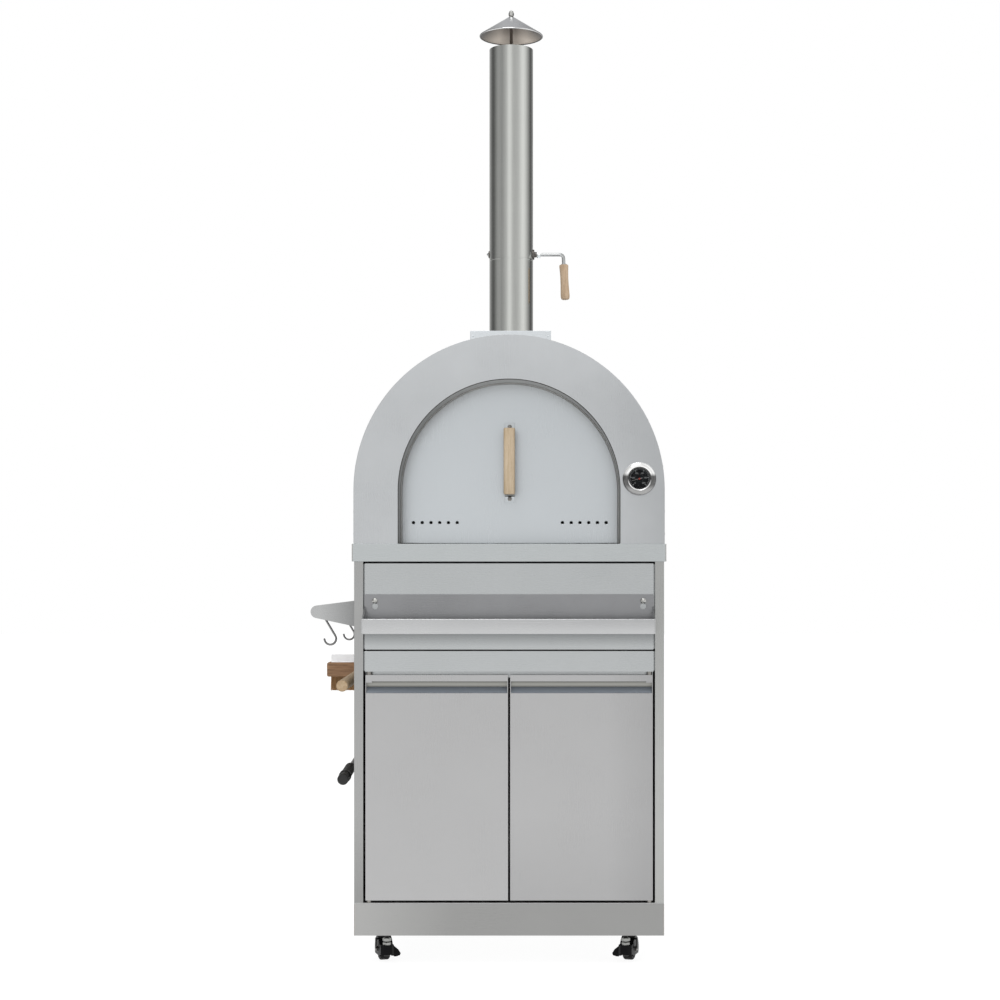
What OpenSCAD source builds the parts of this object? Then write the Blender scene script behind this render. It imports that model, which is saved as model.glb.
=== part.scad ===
// Free-standing wood fired pizza oven on a two-door cabinet with casters.
// Millimetres. X to the right, Y to the back, Z up; the origin is on the floor under the
// middle of the cabinet.

/* [Cabinet] */
// Width of the cabinet over both side panels
cab_w = 682; // [660:1:720]
// Depth of the cabinet, front to back
cab_d = 560; // [540:1:600]
// Height of the lower edge of the plinth above the floor
plinth_z = 66; // [64:0.5:70]
// Height of the cabinet floor, on top of the plinth
floor_z = 138; // [130:1:150]
// Height of the top of the side panels
deck_z = 889; // [880:1:900]
// Width of the front post, folded from each side panel
post_w = 20; // [16:1:24]
// Thickness of the steel sheet
sheet = 1.5; // [1.2:0.1:2]

/* [Cabinet doors] */
// Height of the lower edge of the doors
door_z0 = 143.3; // [142:0.1:154]
// Height of the upper edge of the doors
door_z1 = 639.4; // [630:0.1:642]
// Thickness of a door over its folded edges
door_t = 20; // [18:1:24]
// Gap between a door and its post
door_gap = 5; // [4:0.5:7]
// Half of the gap between the two doors
meet_gap = 2.5; // [2:0.5:4]
// Height of the finger opening of the pull, below its lip
pull_h = 26; // [22:1:30]
// Depth of the recess behind the pull
pull_depth = 16; // [12:1:16]
// Height of the lip at the top of the pull
lip_h = 14; // [12:1:18]

/* [Front panels and tray] */
// Height of the lower and upper edges of the rail above the doors
rail_z = [646.7, 692.2];
// Height of the lower and upper edges of the fascia panel
fascia_z = [695.3, 885];
// Half width of the rail and the fascia panel
panel_x = 317.5; // [314:0.5:319]
// Half width of the hanging tray
tray_x = 318; // [300:1:320]
// Depth of the hanging tray in front of the cabinet
tray_depth = 75; // [60:1:90]
// Heights of the tray's floor, front lip, side wall at the back, and back plate
tray_z = [731, 764, 791, 817];
// Half distance between the two keyhole screws
key_x = 295; // [270:1:300]
// Height of the keyhole screws
key_z = 802.5; // [800:0.5:805]
// Lift that frees the tray from its screws
key_lift = 12; // [11:0.5:13]

/* [Oven] */
// Height of the hearth and of the top of the base frame
hearth_z = 928; // [924:1:932]
// Height of the centre of all the arches
arch_z = 1046.4; // [1040:0.2:1060]
// Outer radius of the arched facade
arch_r = 342.5; // [340:0.5:345]
// Radius of the mouth
mouth_r = 244.4; // [230:0.2:250]
// Inner radius of the oven chamber
chamber_r = 300; // [290:1:310]
// Distance of the oven door behind the facade
setback = 90; // [80:1:100]
// Thickness of the oven door
oven_door_t = 38; // [30:1:45]
// Thickness of the baking stones
stone_t = 28; // [20:1:28]

/* [Flue] */
// Outer diameter of the flue pipe
flue_d = 102; // [98:1:106]
// Height of the top of the flue
flue_top = 2090; // [1900:1:2100]
// Height of the joint between the lower and the upper pipe
seam_z = 1596.5; // [1590:0.5:1600]
// Height of the damper's shaft
damper_z = 1611; // [1608:1:1616]
// Width of the square collar at the foot of the flue
collar_w = 185.5; // [170:0.5:200]
// Height of the top of the collar
collar_z = 1421; // [1410:1:1430]
// Diameter of the rain cap
cap_d = 148; // [140:1:160]
// Height of the rim of the rain cap
cap_z = 2123; // [2115:1:2130]
// Height of the rain cap's cone
cap_h = 44; // [36:1:50]

/* [Thermometer] */
// Distance of the thermometer from the middle, and its height
gauge_at = [286.5, 1071];
// Outer diameter of the bezel
gauge_d = 73.7; // [70:0.1:78]
// Diameter of the dial
dial_d = 50; // [44:1:52]

/* [Tool rack and tools] */
// Distance of the rack's hanging rail from the side panel, and its height
rail_at = [58, 774.5];
// Front and back ends of the rack
rack_y = [-245, 225];
// Distance of the brush handle from the side panel
brush_out = 26; // [20:1:30]
// Distance of the rake's shaft from the side panel
rake_out = 25; // [20:1:30]
// Wire diameter of the S hooks
hook_wire = 4.6; // [3:0.1:5]
// Centreline radius of both loops of an S hook
hook_r = 13; // [12:0.5:16]
// Distance between the centres of the two loops
hook_span = 51; // [44:1:60]

/* [Casters] */
// Distance of a caster's stem from the middle, sideways and front to back
stem_at = [265, 240];
// Shift of all four casters to the left
stem_off = 7; // [0:0.5:8]
// Diameter of a caster wheel
wheel_d = 50; // [46:1:50]
// Width of a caster wheel
wheel_w = 22; // [20:1:22]
// Distance of the wheel's axle behind the stem
trail = 34; // [34:1:40]
// Angle by which the standing casters trail outwards
toe = 16; // [0:1:20]

/* [Hidden] */

$fn = 64;
eps = 0.01;      // overlap of a cutting tool past the face it cuts
run = 0.06;      // radial clearance of a turning fit
slip = 0.2;      // clearance between neighbouring pieces that don't touch

// Cabinet
half_w = cab_w / 2;
front = -cab_d / 2;
back = cab_d / 2;
return_d = 25;               // depth of a post's folded return
panel_d = 18;                // depth of the folded edges of rail and fascia
stop_h = 14;                 // drop of the flange behind the top of the doors
gusset = [100, 110, 3];      // plate that holds a caster in a corner of the plinth
base_over = [4.5, 4];        // base frame beyond the cabinet, sideways and front to back
base_x = half_w + base_over[0];
base_y = back + base_over[1];

// Cabinet doors
door_x0 = half_w - post_w - door_gap;
pin_r = 3;
pin_in = [7, 8];             // hinge pin inwards from the door's outer front corner
pin_x = door_x0 - pin_in[0];
pin_y = front + pin_in[1];
boss_r = 5.5;

// Oven
chamber_y = [-147, 235];
plate = 2;                   // thickness of the chamber's plates
mouth_wall = 1.5;
door_y = front + setback;
oven_door_r = mouth_r - 1.2;
oven_door_z = hearth_z + 2.4;
hole_pitch = 19.7;
hole_r = 3.25;
hole_x0 = 118.3;
hole_z = 977.6;
handle = [25.3, 24, 147];    // wooden handle of the oven door
handle_z = 1038;
handle_stand = 50;           // room for fingers behind the handle

// Flue
flue_r = flue_d / 2;
flue_wall = 1.2;
shell_r = arch_r - sheet - 0.3;
spigot_r = flue_r - flue_wall - 0.1;
spigot_h = 30;
rod_r = 4;
crank_x = 113.6;             // where the damper's crank begins to bend down
crank_bend = 8.6;
crank_z = damper_z - crank_bend;
crank_lean = 2.6;            // lean of the crank's leg away from the flue
grip_from = 15.4;            // from the bend down to the grip
grip_h = 82;
grip_r = 10.6;
blade_r = spigot_r - flue_wall - 2;

// Thermometer
gauge_r = gauge_d / 2;
dial_r = dial_d / 2;
needle_at = 195;             // direction of the needle, counter-clockwise from +X

// Tools
rail_r = 5;
hook_y = [-228, 195];
brush_r = 13;
brush_start = [-half_w - brush_out, -288, 615.6];
brush_tilt = 1.11;
head_at = 588;               // from the handle's free end to the brush head
head_size = [196, 45, 35.6];
rake_start = [-half_w - rake_out, -280, 409.1];
rake_tilt = 3.6;
rake_len = 640;
shaft_r = 6;
cradle_y = [165, 255];
cradle_t = 3;

// Casters
stem_r = 5;
nut_r = 17 / sqrt(3);        // 17 mm across flats
wheel_r = wheel_d / 2;
axle_r = 3;
hood_x = 15;                 // half width of the caster's hood
hood_wall = 2.5;
hood_r = wheel_r + 3.5;
hood_z = 12;                 // lower edge of the hood
neck_z = [17.3, 38.6];       // block that turns on the stem
nut_z = [neck_z[1] + slip, 47.2];
pedal_pin = [19, 17];
pedal_pin_r = 2;
pedal_y = [8, 27];

// ---- Shared shapes ----

// Extrudes an XZ outline from y0 to y1.
module along_y(y0, y1) {
    translate([0, y1, 0]) rotate([90, 0, 0]) linear_extrude(y1 - y0) children();
}

// Extrudes a YZ outline from x0 to x1.
module along_x(x0, x1) {
    translate([x0, 0, 0]) rotate([90, 0, 90]) linear_extrude(x1 - x0) children();
}

// A box between two corners.
module block(a, b) {
    translate(a) cube(b - a);
}

// Round bar along X, Y or Z between two places on that axis.
module bar_x(r, x0, x1, y, z) {
    translate([x0, y, z]) rotate([0, 90, 0]) cylinder(r = r, h = x1 - x0);
}
module bar_y(r, y0, y1, x, z) {
    translate([x, y1, z]) rotate([90, 0, 0]) cylinder(r = r, h = y1 - y0);
}
module bar_z(r, z0, z1, x = 0, y = 0) {
    translate([x, y, z0]) cylinder(r = r, h = z1 - z0);
}

// Outline of an arch of radius r that stands on the height z0.
module arch(r, z0) {
    intersection() {
        translate([0, arch_z]) circle(r, $fn = 128);
        translate([-r - 1, arch_z]) square([2 * r + 2, r + 2]);
    }
    translate([-r, z0]) square([2 * r, arch_z - z0]);
}

// Outline of the wall between two arches, open at the bottom.
module arch_wall(r_in, r_out, z0) {
    difference() {
        arch(r_out, z0);
        arch(r_in, z0 - 1);
    }
}

// Points of an arc around c.
function arc(c, r, a0, a1, n) =
    [for (i = [0 : n]) let (a = a0 + (a1 - a0) * i / n) c + r * [cos(a), sin(a)]];

// ---- Cabinet ----

module side_panel() {
    translate([0, 0, floor_z]) linear_extrude(deck_z - floor_z) {
        translate([-half_w, front]) square([sheet, cab_d]);
        translate([-half_w, front]) square([post_w, sheet]);
        translate([-half_w + post_w - sheet, front]) square([sheet, return_d]);
        translate([-half_w, back - sheet]) square([post_w, sheet]);
    }
}

module side_panel_left() {
    color("silver") side_panel();
}

module side_panel_right() {
    color("silver") mirror([1, 0, 0]) side_panel();
}

module back_panel() {
    x = half_w - sheet - 0.1;
    color("silver") block([-x, back - 2 * sheet, floor_z], [x, back - sheet, deck_z]);
}

module plinth() {
    top = floor_z - sheet;
    flange = 20;
    color("darkgray") difference() {
        union() {
            difference() {
                block([-half_w, front, plinth_z], [half_w, back, top]);
                block([-half_w + sheet, front + sheet, plinth_z - 1],
                      [half_w - sheet, back - sheet, top - sheet]);
                block([-half_w + flange, front + flange, plinth_z],
                      [half_w - flange, back - flange, top + 1]);
            }
            for (sx = [-1, 1], sy = [-1, 1])
                translate([sx * (half_w - sheet - gusset[0] / 2),
                           sy * (back - sheet - gusset[1] / 2), plinth_z + gusset[2] / 2])
                    cube(gusset, center = true);
        }
        for (sx = [-1, 1], sy = [-1, 1])
            bar_z(stem_r + 0.5, plinth_z - 1, plinth_z + gusset[2] + 1,
                  sx * stem_at[0] - stem_off, sy * stem_at[1]);
    }
}

module cabinet_floor() {
    color("silver") block([-half_w, front, floor_z - sheet], [half_w, back, floor_z]);
}

// A front panel with folded upper and lower edges, and ends that reach the posts.
module front_panel(z0, z1) {
    reach = half_w - post_w;
    difference() {
        block([-panel_x, front, z0], [panel_x, front + panel_d, z1]);
        block([-panel_x - 1, front + sheet, z0 + sheet],
              [panel_x + 1, front + panel_d + 1, z1 - sheet]);
    }
    for (s = [0, 1]) mirror([s, 0, 0])
        block([panel_x - sheet, front + sheet, z0 + sheet],
              [panel_x, front + panel_d, z1 - sheet]);
    for (s = [0, 1]) mirror([s, 0, 0])
        block([panel_x, front + panel_d - sheet, z0 + sheet],
              [reach, front + panel_d, z1 - sheet]);
}

module fascia_panel() {
    color("gainsboro") difference() {
        front_panel(fascia_z[0], fascia_z[1]);
        for (s = [-1, 1]) bar_y(2.75, front - 1, front + sheet + 1, s * key_x, key_z);
    }
}

// The rail's lower fold carries on to a flange that closes the gap above the doors.
module front_rail() {
    y = front + door_t + 3;
    color("silver") {
        front_panel(rail_z[0], rail_z[1]);
        block([-panel_x, front + panel_d - eps, rail_z[0]],
              [panel_x, y + sheet, rail_z[0] + sheet]);
        block([-panel_x, y, rail_z[0] - stop_h], [panel_x, y + sheet, rail_z[0] + sheet]);
    }
}

module hinge_pins() {
    collar_r = 6;
    sink = 14;
    color("dimgray") for (s = [-1, 1]) {
        bar_z(pin_r, floor_z, door_z0 + sink, s * pin_x, pin_y);
        bar_z(collar_r, floor_z, door_z0 - slip, s * pin_x, pin_y);
        bar_z(pin_r, door_z1 - sink, rail_z[0], s * pin_x, pin_y);
        bar_z(collar_r, door_z1 + slip, rail_z[0], s * pin_x, pin_y);
    }
}

module door_magnets() {
    size = [30, 14, 14];
    y = front + door_t + slip;
    top = rail_z[0] - stop_h - 0.5;
    tail_y = front + door_t + 3 + sheet;
    color("dimgray") for (s = [-1, 1]) translate([s * 25 - size[0] / 2, 0, 0]) {
        block([0, y, top - size[2]], [size[0], y + size[1], top]);
        // Tail that is screwed to the back of the rail's flange.
        block([0, tail_y, top - eps], [size[0], tail_y + 1.5, top + 12]);
    }
}

// Left cabinet door: a pan folded from one sheet, with a full-width pull at its top.
module cabinet_door() {
    rear = front + door_t;
    top_in = door_z1 - sheet;
    bend_z = door_z1 - lip_h - pull_h;
    recess = front + pull_depth;
    slope = 13;
    x0 = -door_x0;
    x1 = -meet_gap;
    edge = 12;
    difference() {
        union() {
            difference() {
                along_x(x0, x1) polygon([
                    [front, door_z0], [front, bend_z], [recess, bend_z + slope],
                    [recess, top_in], [front + sheet, top_in],
                    [front + sheet, door_z1 - lip_h], [front, door_z1 - lip_h],
                    [front, door_z1], [rear, door_z1], [rear, door_z0]
                ]);
                along_x(x0 + sheet, x1 - sheet) polygon([
                    [front + sheet, door_z0 + sheet], [front + sheet, bend_z - 0.7],
                    [recess + 1, bend_z + slope - 1], [rear - sheet, bend_z + slope - 1],
                    [rear - sheet, door_z0 + sheet]
                ]);
                block([x0 + edge, rear - sheet - 1, door_z0 + edge],
                      [x1 - edge, rear + 1, bend_z]);
            }
            bar_z(boss_r, door_z0 + eps, door_z0 + 18, -pin_x, pin_y);
            block([x0, front + sheet - eps, door_z1 - 17],
                  [x0 + 14, recess + eps, top_in + eps]);
            // Closed ends of the pull.
            for (x = [x0, x1 - sheet])
                along_x(x, x + sheet) polygon([
                    [front, bend_z - eps], [front, door_z1 - lip_h + eps],
                    [front + sheet - eps, top_in + eps], [recess + eps, top_in + eps],
                    [recess + eps, bend_z + slope - 1]
                ]);
        }
        bar_z(pin_r + run, door_z0 - 1, door_z0 + 19, -pin_x, pin_y);
        bar_z(pin_r + run, door_z1 - 18, door_z1 + 1, -pin_x, pin_y);
    }
}

module cabinet_door_left() {
    color("silver") cabinet_door();
}

module cabinet_door_right() {
    color("silver") mirror([1, 0, 0]) cabinet_door();
}

// ---- Hanging tray ----

tray_back = front - 2;

module keyhole() {
    slot_r = 2.75;
    entry_r = 7;
    bar_y(slot_r, tray_back - sheet - 1, tray_back + 1, 0, key_z);
    block([-slot_r, tray_back - sheet - 1, key_z - key_lift],
          [slot_r, tray_back + 1, key_z]);
    bar_y(entry_r, tray_back - sheet - 1, tray_back + 1, 0, key_z - key_lift);
}

module hanging_tray() {
    y0 = front - tray_depth;
    color("gainsboro") difference() {
        union() {
            block([-tray_x, y0, tray_z[0]], [tray_x, tray_back, tray_z[0] + sheet]);
            block([-tray_x, y0, tray_z[0]], [tray_x, y0 + sheet, tray_z[1]]);
            block([-tray_x, tray_back - sheet, tray_z[0]], [tray_x, tray_back, tray_z[3]]);
            for (s = [0, 1]) mirror([s, 0, 0])
                along_x(tray_x - sheet, tray_x) polygon([
                    [y0, tray_z[0]], [y0, tray_z[1]],
                    [tray_back - sheet, tray_z[2]], [tray_back - sheet, tray_z[0]]
                ]);
        }
        for (s = [-1, 1]) translate([s * key_x, 0, 0]) keyhole();
    }
}

module tray_screws() {
    head_r = 6.5;
    dome = 9;
    head_y = tray_back - sheet - 0.5;
    color("silver") for (s = [-1, 1]) {
        bar_y(2.5, head_y - eps, front + 8, s * key_x, key_z);
        intersection() {
            bar_y(head_r, head_y - 4, head_y, s * key_x, key_z);
            translate([s * key_x, head_y + dome - 3.2, key_z]) sphere(dome);
        }
        bar_y(6, tray_back + 0.3, front, s * key_x, key_z);
        translate([s * key_x, front + sheet + 4, key_z]) rotate([90, 0, 0])
            cylinder(r = 4.6, h = 4, $fn = 6);
    }
}

// ---- Oven ----

module base_frame() {
    hole_x = chamber_r - 1;
    color("silver") difference() {
        block([-base_x, -base_y, deck_z], [base_x, base_y, hearth_z]);
        block([-base_x + sheet, -base_y + sheet, deck_z + sheet],
              [base_x - sheet, base_y - sheet, hearth_z - sheet]);
        block([-hole_x, chamber_y[0], deck_z + sheet + 1],
              [hole_x, chamber_y[1] - 1, hearth_z + 1]);
    }
}

module hearth_board() {
    x = base_x - sheet - 0.5;
    y = base_y - sheet - 0.5;
    color("beige")
        block([-x, -y, deck_z + sheet], [x, y, hearth_z - stone_t - slip / 2]);
}

module baking_stones() {
    cols = 3;
    rows = 2;
    joint = 1;
    x0 = -(chamber_r - 1.5);
    y0 = chamber_y[0] + 0.5;
    w = (-2 * x0 - (cols - 1) * joint) / cols;
    d = (chamber_y[1] - 1.5 - y0 - (rows - 1) * joint) / rows;
    color("burlywood") for (i = [0 : cols - 1], j = [0 : rows - 1])
        translate([x0 + i * (w + joint), y0 + j * (d + joint), hearth_z - stone_t])
            cube([w, d, stone_t]);
}

// Arched end panel with a folded rim that laps over the shell.
module end_panel(y0, y1, rim_y0, rim_y1) {
    along_y(y0, y1) arch(arch_r, hearth_z);
    along_y(rim_y0, rim_y1) arch_wall(arch_r - sheet, arch_r, hearth_z);
}

module oven_facade() {
    color("gainsboro") difference() {
        end_panel(front, front + sheet, front + sheet, front + 18);
        along_y(front - 1, front + sheet + 1) arch(mouth_r, hearth_z - 1);
        bar_y(8, front - 1, front + sheet + 1, gauge_at[0], gauge_at[1]);
    }
}

module oven_back() {
    color("silver") end_panel(back - sheet, back, back - 18, back - sheet);
}

module oven_shell() {
    color("silver") difference() {
        along_y(front + sheet, back - sheet) arch_wall(shell_r - sheet, shell_r, hearth_z);
        bar_z(flue_r + 2, arch_z + shell_r - 20, arch_z + shell_r + 5);
    }
}

module mouth_frame() {
    color("dimgray") along_y(front + sheet, chamber_y[0] - plate)
        arch_wall(mouth_r, mouth_r + mouth_wall, hearth_z);
}

module chamber_vault() {
    stop_r = mouth_r - 12;
    color("darkgray") difference() {
        union() {
            along_y(chamber_y[0], chamber_y[1])
                arch_wall(chamber_r, chamber_r + plate, hearth_z);
            along_y(chamber_y[0] - plate, chamber_y[0])
                arch_wall(stop_r, chamber_r + plate, hearth_z);
            along_y(chamber_y[1], chamber_y[1] + plate) arch(chamber_r + plate, hearth_z);
        }
        bar_z(flue_r + 0.3, arch_z + chamber_r - 20, arch_z + chamber_r + 5);
        bar_y(4, chamber_y[0] - plate - 1, chamber_y[0] + 1, gauge_at[0], gauge_at[1]);
    }
}

module insulation() {
    outer = shell_r - sheet - slip;
    z0 = hearth_z + slip;
    y = [front + sheet + slip, chamber_y[0] - plate - slip,
         chamber_y[1] + plate + slip, back - sheet - slip];
    color("lemonchiffon") difference() {
        union() {
            along_y(y[0], y[1]) arch_wall(mouth_r + mouth_wall + slip, outer, z0);
            along_y(y[1], y[2]) arch_wall(chamber_r + plate + slip, outer, z0);
            along_y(y[2], y[3]) arch(outer, z0);
        }
        bar_z(flue_r + 3, arch_z + chamber_r, arch_z + shell_r);
        bar_y(8.5, y[0] - 1, y[1] + 1, gauge_at[0], gauge_at[1]);
    }
}

// ---- Flue ----

module flue_collar() {
    w = collar_w / 2;
    color("silver") difference() {
        block([-w, -w, arch_z + shell_r - 30], [w, w, collar_z]);
        block([-w + sheet, -w + sheet, arch_z + shell_r - 31],
              [w - sheet, w - sheet, collar_z - sheet]);
        bar_y(shell_r + slip / 2, -w - 1, w + 1, 0, arch_z, $fn = 128);
        bar_z(flue_r + 0.3, collar_z - 5, collar_z + 1);
    }
}

module flue_pipe_lower() {
    color("silver") difference() {
        bar_z(flue_r, arch_z + chamber_r + 0.5, seam_z);
        bar_z(flue_r - flue_wall, arch_z + chamber_r - 1, seam_z + 1);
    }
}

// The upper pipe has a narrower spigot that drops into the lower pipe.
module flue_pipe_upper() {
    inner = flue_r - flue_wall;
    color("silver") difference() {
        rotate_extrude($fn = 128) polygon([
            [inner, flue_top], [flue_r, flue_top], [flue_r, seam_z],
            [spigot_r, seam_z], [spigot_r, seam_z - spigot_h],
            [spigot_r - flue_wall, seam_z - spigot_h],
            [spigot_r - flue_wall, seam_z + 3], [inner, seam_z + 4.5]
        ]);
        bar_x(rod_r + 0.6, -flue_r - 1, flue_r + 1, 0, damper_z);
    }
}

module rain_cap() {
    r = cap_d / 2;
    hole = rod_r + 0.3;
    t = 1.8;
    color("silver") rotate_extrude($fn = 128) polygon([
        [hole, cap_z + cap_h], [r, cap_z + t / 2], [r, cap_z - t / 2],
        [hole, cap_z + cap_h - t]
    ]);
}

// Threaded rod of the rain cap, with its nuts, finial and the bar across the flue.
module cap_support() {
    apex = cap_z + cap_h;
    bar_z0 = flue_top - 38;
    reach = flue_r - flue_wall - 0.1;
    tab = 18;
    color("darkgray") {
        bar_z(rod_r, bar_z0 - 8, apex + 8);
        bar_z(7 / cos(30), apex - 13.5, apex - 7.5, $fn = 6);
        bar_z(5.8, apex + 0.3, apex + 8);
        translate([0, 0, apex + 8]) sphere(5.8);
        bar_z(7 / cos(30), bar_z0 + 3, bar_z0 + 8, $fn = 6);
        intersection() {
            union() {
                block([-reach, -7, bar_z0], [reach, 7, bar_z0 + 3]);
                for (s = [0, 1]) mirror([s, 0, 0])
                    block([reach - 4, -7, bar_z0], [reach, 7, bar_z0 + tab]);
            }
            bar_z(reach, bar_z0 - 1, bar_z0 + tab + 1);
        }
    }
}

module damper_bushes() {
    color("dimgray") difference() {
        union() {
            bar_x(12, flue_r - 6, flue_r + 5, 0, damper_z);
            bar_x(6.5, flue_r + 4, flue_r + 9.5, 0, damper_z);
            bar_x(10.5, -flue_r - 3, -flue_r + 4, 0, damper_z);
        }
        bar_z(flue_r + slip / 4, damper_z - 20, damper_z + 20);
        bar_x(rod_r + run, -flue_r - 10, flue_r + 20, 0, damper_z);
    }
}

// Puts shapes on the leaning leg of the crank; its bend ends at the local origin.
module on_leg() {
    translate([crank_x, 0, crank_z]) rotate([0, -crank_lean, 0])
        translate([crank_bend, 0, 0]) children();
}

// Both ends of the crank's bend are joined to the straight rods by a slight swelling.
module damper_crank() {
    gap = 0.05;
    joint_r = rod_r + 0.15;
    color("gray") {
        bar_x(rod_r, -flue_r - 3, crank_x - gap, 0, damper_z);
        translate([crank_x, 0, damper_z]) sphere(joint_r);
        translate([crank_x, 0, crank_z]) rotate([90, 0, 0]) rotate([0, 0, crank_lean + 0.5])
            rotate_extrude(angle = 89 - crank_lean) translate([crank_bend, 0]) circle(rod_r);
        on_leg() {
            sphere(joint_r);
            bar_z(rod_r, -grip_from - grip_h + 20, -gap);
        }
        translate([flue_r + 10, 0, damper_z]) rotate([0, 90, 0])
            cylinder(r = 9.2, h = 6, $fn = 6);
    }
}

module damper_grip() {
    neck = 3;
    color("burlywood") on_leg() difference() {
        translate([0, 0, -grip_from - grip_h]) rotate_extrude() polygon([
            [0, 0], [grip_r - 4, 0], [grip_r - 1, 1.5], [grip_r, 5], [grip_r, grip_h - neck],
            [grip_r - 1.5, grip_h], [0, grip_h]
        ]);
        bar_z(rod_r + 0.05, -grip_from - grip_h + 19, 1);
    }
}

module damper_plate() {
    color("gray") bar_y(blade_r, rod_r + 0.05, rod_r + 1.55, 0, damper_z);
}

// ---- Thermometer ----

module thermometer_case() {
    well = [front - 3, front - 13];
    crown = 11;
    color("silver") difference() {
        union() {
            translate([gauge_at[0], front, gauge_at[1]]) rotate([90, 0, 0])
                rotate_extrude(convexity = 4) polygon(concat(
                    [[0, 0], [gauge_r, 0], [gauge_r, 4]],
                    [for (a = [15 : 15 : 75])
                        [gauge_r - 5 + 5 * cos(a), 4 + (crown - 4) * sin(a)]],
                    [[gauge_r - 5, crown], [dial_r + 2, crown - 1], [0, crown - 1]]));
            bar_y(6, front - eps, front + 12, gauge_at[0], gauge_at[1]);
            bar_y(3, front, -120, gauge_at[0], gauge_at[1]);
        }
        bar_y(dial_r + 0.5, well[1], well[0], gauge_at[0], gauge_at[1]);
    }
}

module thermometer_dial() {
    color("black") {
        bar_y(dial_r + 0.3, front - 4.5, front - 3, gauge_at[0], gauge_at[1]);
        bar_y(0.75, front - 7, front - 4.5, gauge_at[0], gauge_at[1]);
    }
}

module thermometer_needle() {
    tip = 19;
    tail = 7;
    color("red") translate([gauge_at[0], 0, gauge_at[1]]) difference() {
        union() {
            rotate([0, -needle_at, 0]) along_y(front - 6.2, front - 5.2)
                polygon([[-tail, -1.4], [tip, -0.3], [tip, 0.3], [-tail, 1.4]]);
            bar_y(2.4, front - 6.6, front - 5.2, 0, 0);
        }
        bar_y(0.75 + run, front - 8, front - 4, 0, 0);
    }
}

module thermometer_lens() {
    color("white", 0.3)
        bar_y(dial_r + 0.4, front - 9.6, front - 8.4, gauge_at[0], gauge_at[1]);
}

// ---- Oven door ----

module air_holes(y0, y1) {
    for (s = [-1, 1], i = [0 : 5])
        bar_y(hole_r, y0, y1, s * (hole_x0 + i * hole_pitch), hole_z, $fn = 24);
}

module oven_door_panel() {
    color("whitesmoke") difference() {
        along_y(door_y, door_y + oven_door_t) arch(oven_door_r, oven_door_z);
        along_y(door_y + sheet, door_y + oven_door_t + 1)
            arch(oven_door_r - sheet, oven_door_z + sheet);
        air_holes(door_y - 1, door_y + sheet + 1);
    }
}

module oven_door_liner() {
    y = door_y + oven_door_t - sheet;
    color("gray") difference() {
        along_y(y, y + sheet) arch(oven_door_r - sheet - slip, oven_door_z + sheet + slip);
        air_holes(y - 1, y + sheet + 1);
    }
}

// Strap behind the wooden handle; both its feet are bolted to the door.
module oven_door_bracket() {
    w = 11;
    t = 3;
    foot = 15;
    z0 = handle_z - 1;
    z1 = handle_z + handle[2] + 1;
    out = door_y - handle_stand;
    color("gray") difference() {
        union() {
            along_x(-w, w) polygon([
                [out, z0], [out, z1], [door_y - t, z1], [door_y - t, z1 + foot],
                [door_y, z1 + foot], [door_y, z1 - t], [out + t, z1 - t],
                [out + t, z0 + t], [door_y, z0 + t], [door_y, z0 - foot],
                [door_y - t, z0 - foot], [door_y - t, z0]
            ]);
            for (z = [z0 - foot / 2, z1 + foot / 2])
                bar_y(4.6, door_y - t - 2.5, door_y - t + eps, 0, z);
        }
        for (z = [handle_z + 30, handle_z + handle[2] - 30])
            bar_y(2.6, out - 1, out + t + 1, 0, z);
    }
}

module oven_door_handle() {
    out = door_y - handle_stand;
    c = 3;
    w = handle[0] / 2;
    color("burlywood") translate([0, 0, handle_z]) linear_extrude(handle[2]) polygon([
        [-w, out], [-w, out - handle[1] + c], [-w + c, out - handle[1]],
        [w - c, out - handle[1]], [w, out - handle[1] + c], [w, out]
    ]);
}

// ---- Tool rack and stored tools ----

module rack_end() {
    root = [745, 803];
    tip_r = 14;
    tip = [-half_w - 86, 778];
    polygon(concat([[-half_w, root[0]], [-half_w, root[1]]],
                   arc(tip, tip_r, 96, 258, 12)));
}

module tool_rack() {
    y0 = rack_y[0];
    y1 = rack_y[1];
    x = -half_w - rail_at[0];
    color("silver") {
        along_y(y0, y0 + sheet) rack_end();
        along_y(y1 - sheet, y1) rack_end();
        block([-half_w - sheet, y0 + sheet, 745], [-half_w, y1 - sheet, 803]);
        bar_y(rail_r, y0 + sheet, y1 - sheet, x, rail_at[1]);
    }
}

// Tube of the given points, made of rings of flat sides; up is square to its plane.
function ring(p, t, up, r, sides) =
    let (u = up / norm(up), v = cross(t, u) / norm(cross(t, u)))
    [for (i = [0 : sides - 1]) let (a = 360 * i / sides) p + r * (cos(a) * u + sin(a) * v)];

module tube(points, up, r, sides = 10) {
    n = len(points);
    tangents = [for (i = [0 : n - 1]) points[min(i + 1, n - 1)] - points[max(i - 1, 0)]];
    rings = [for (i = [0 : n - 1]) each ring(points[i], tangents[i], up, r, sides)];
    walls = [for (i = [0 : n - 2], j = [0 : sides - 1])
        let (k = (j + 1) % sides)
        [i * sides + j, i * sides + k, (i + 1) * sides + k, (i + 1) * sides + j]];
    caps = [[for (j = [sides - 1 : -1 : 0]) j], [for (j = [0 : sides - 1]) (n - 1) * sides + j]];
    polyhedron(rings, concat(walls, caps), convexity = 6);
}

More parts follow.
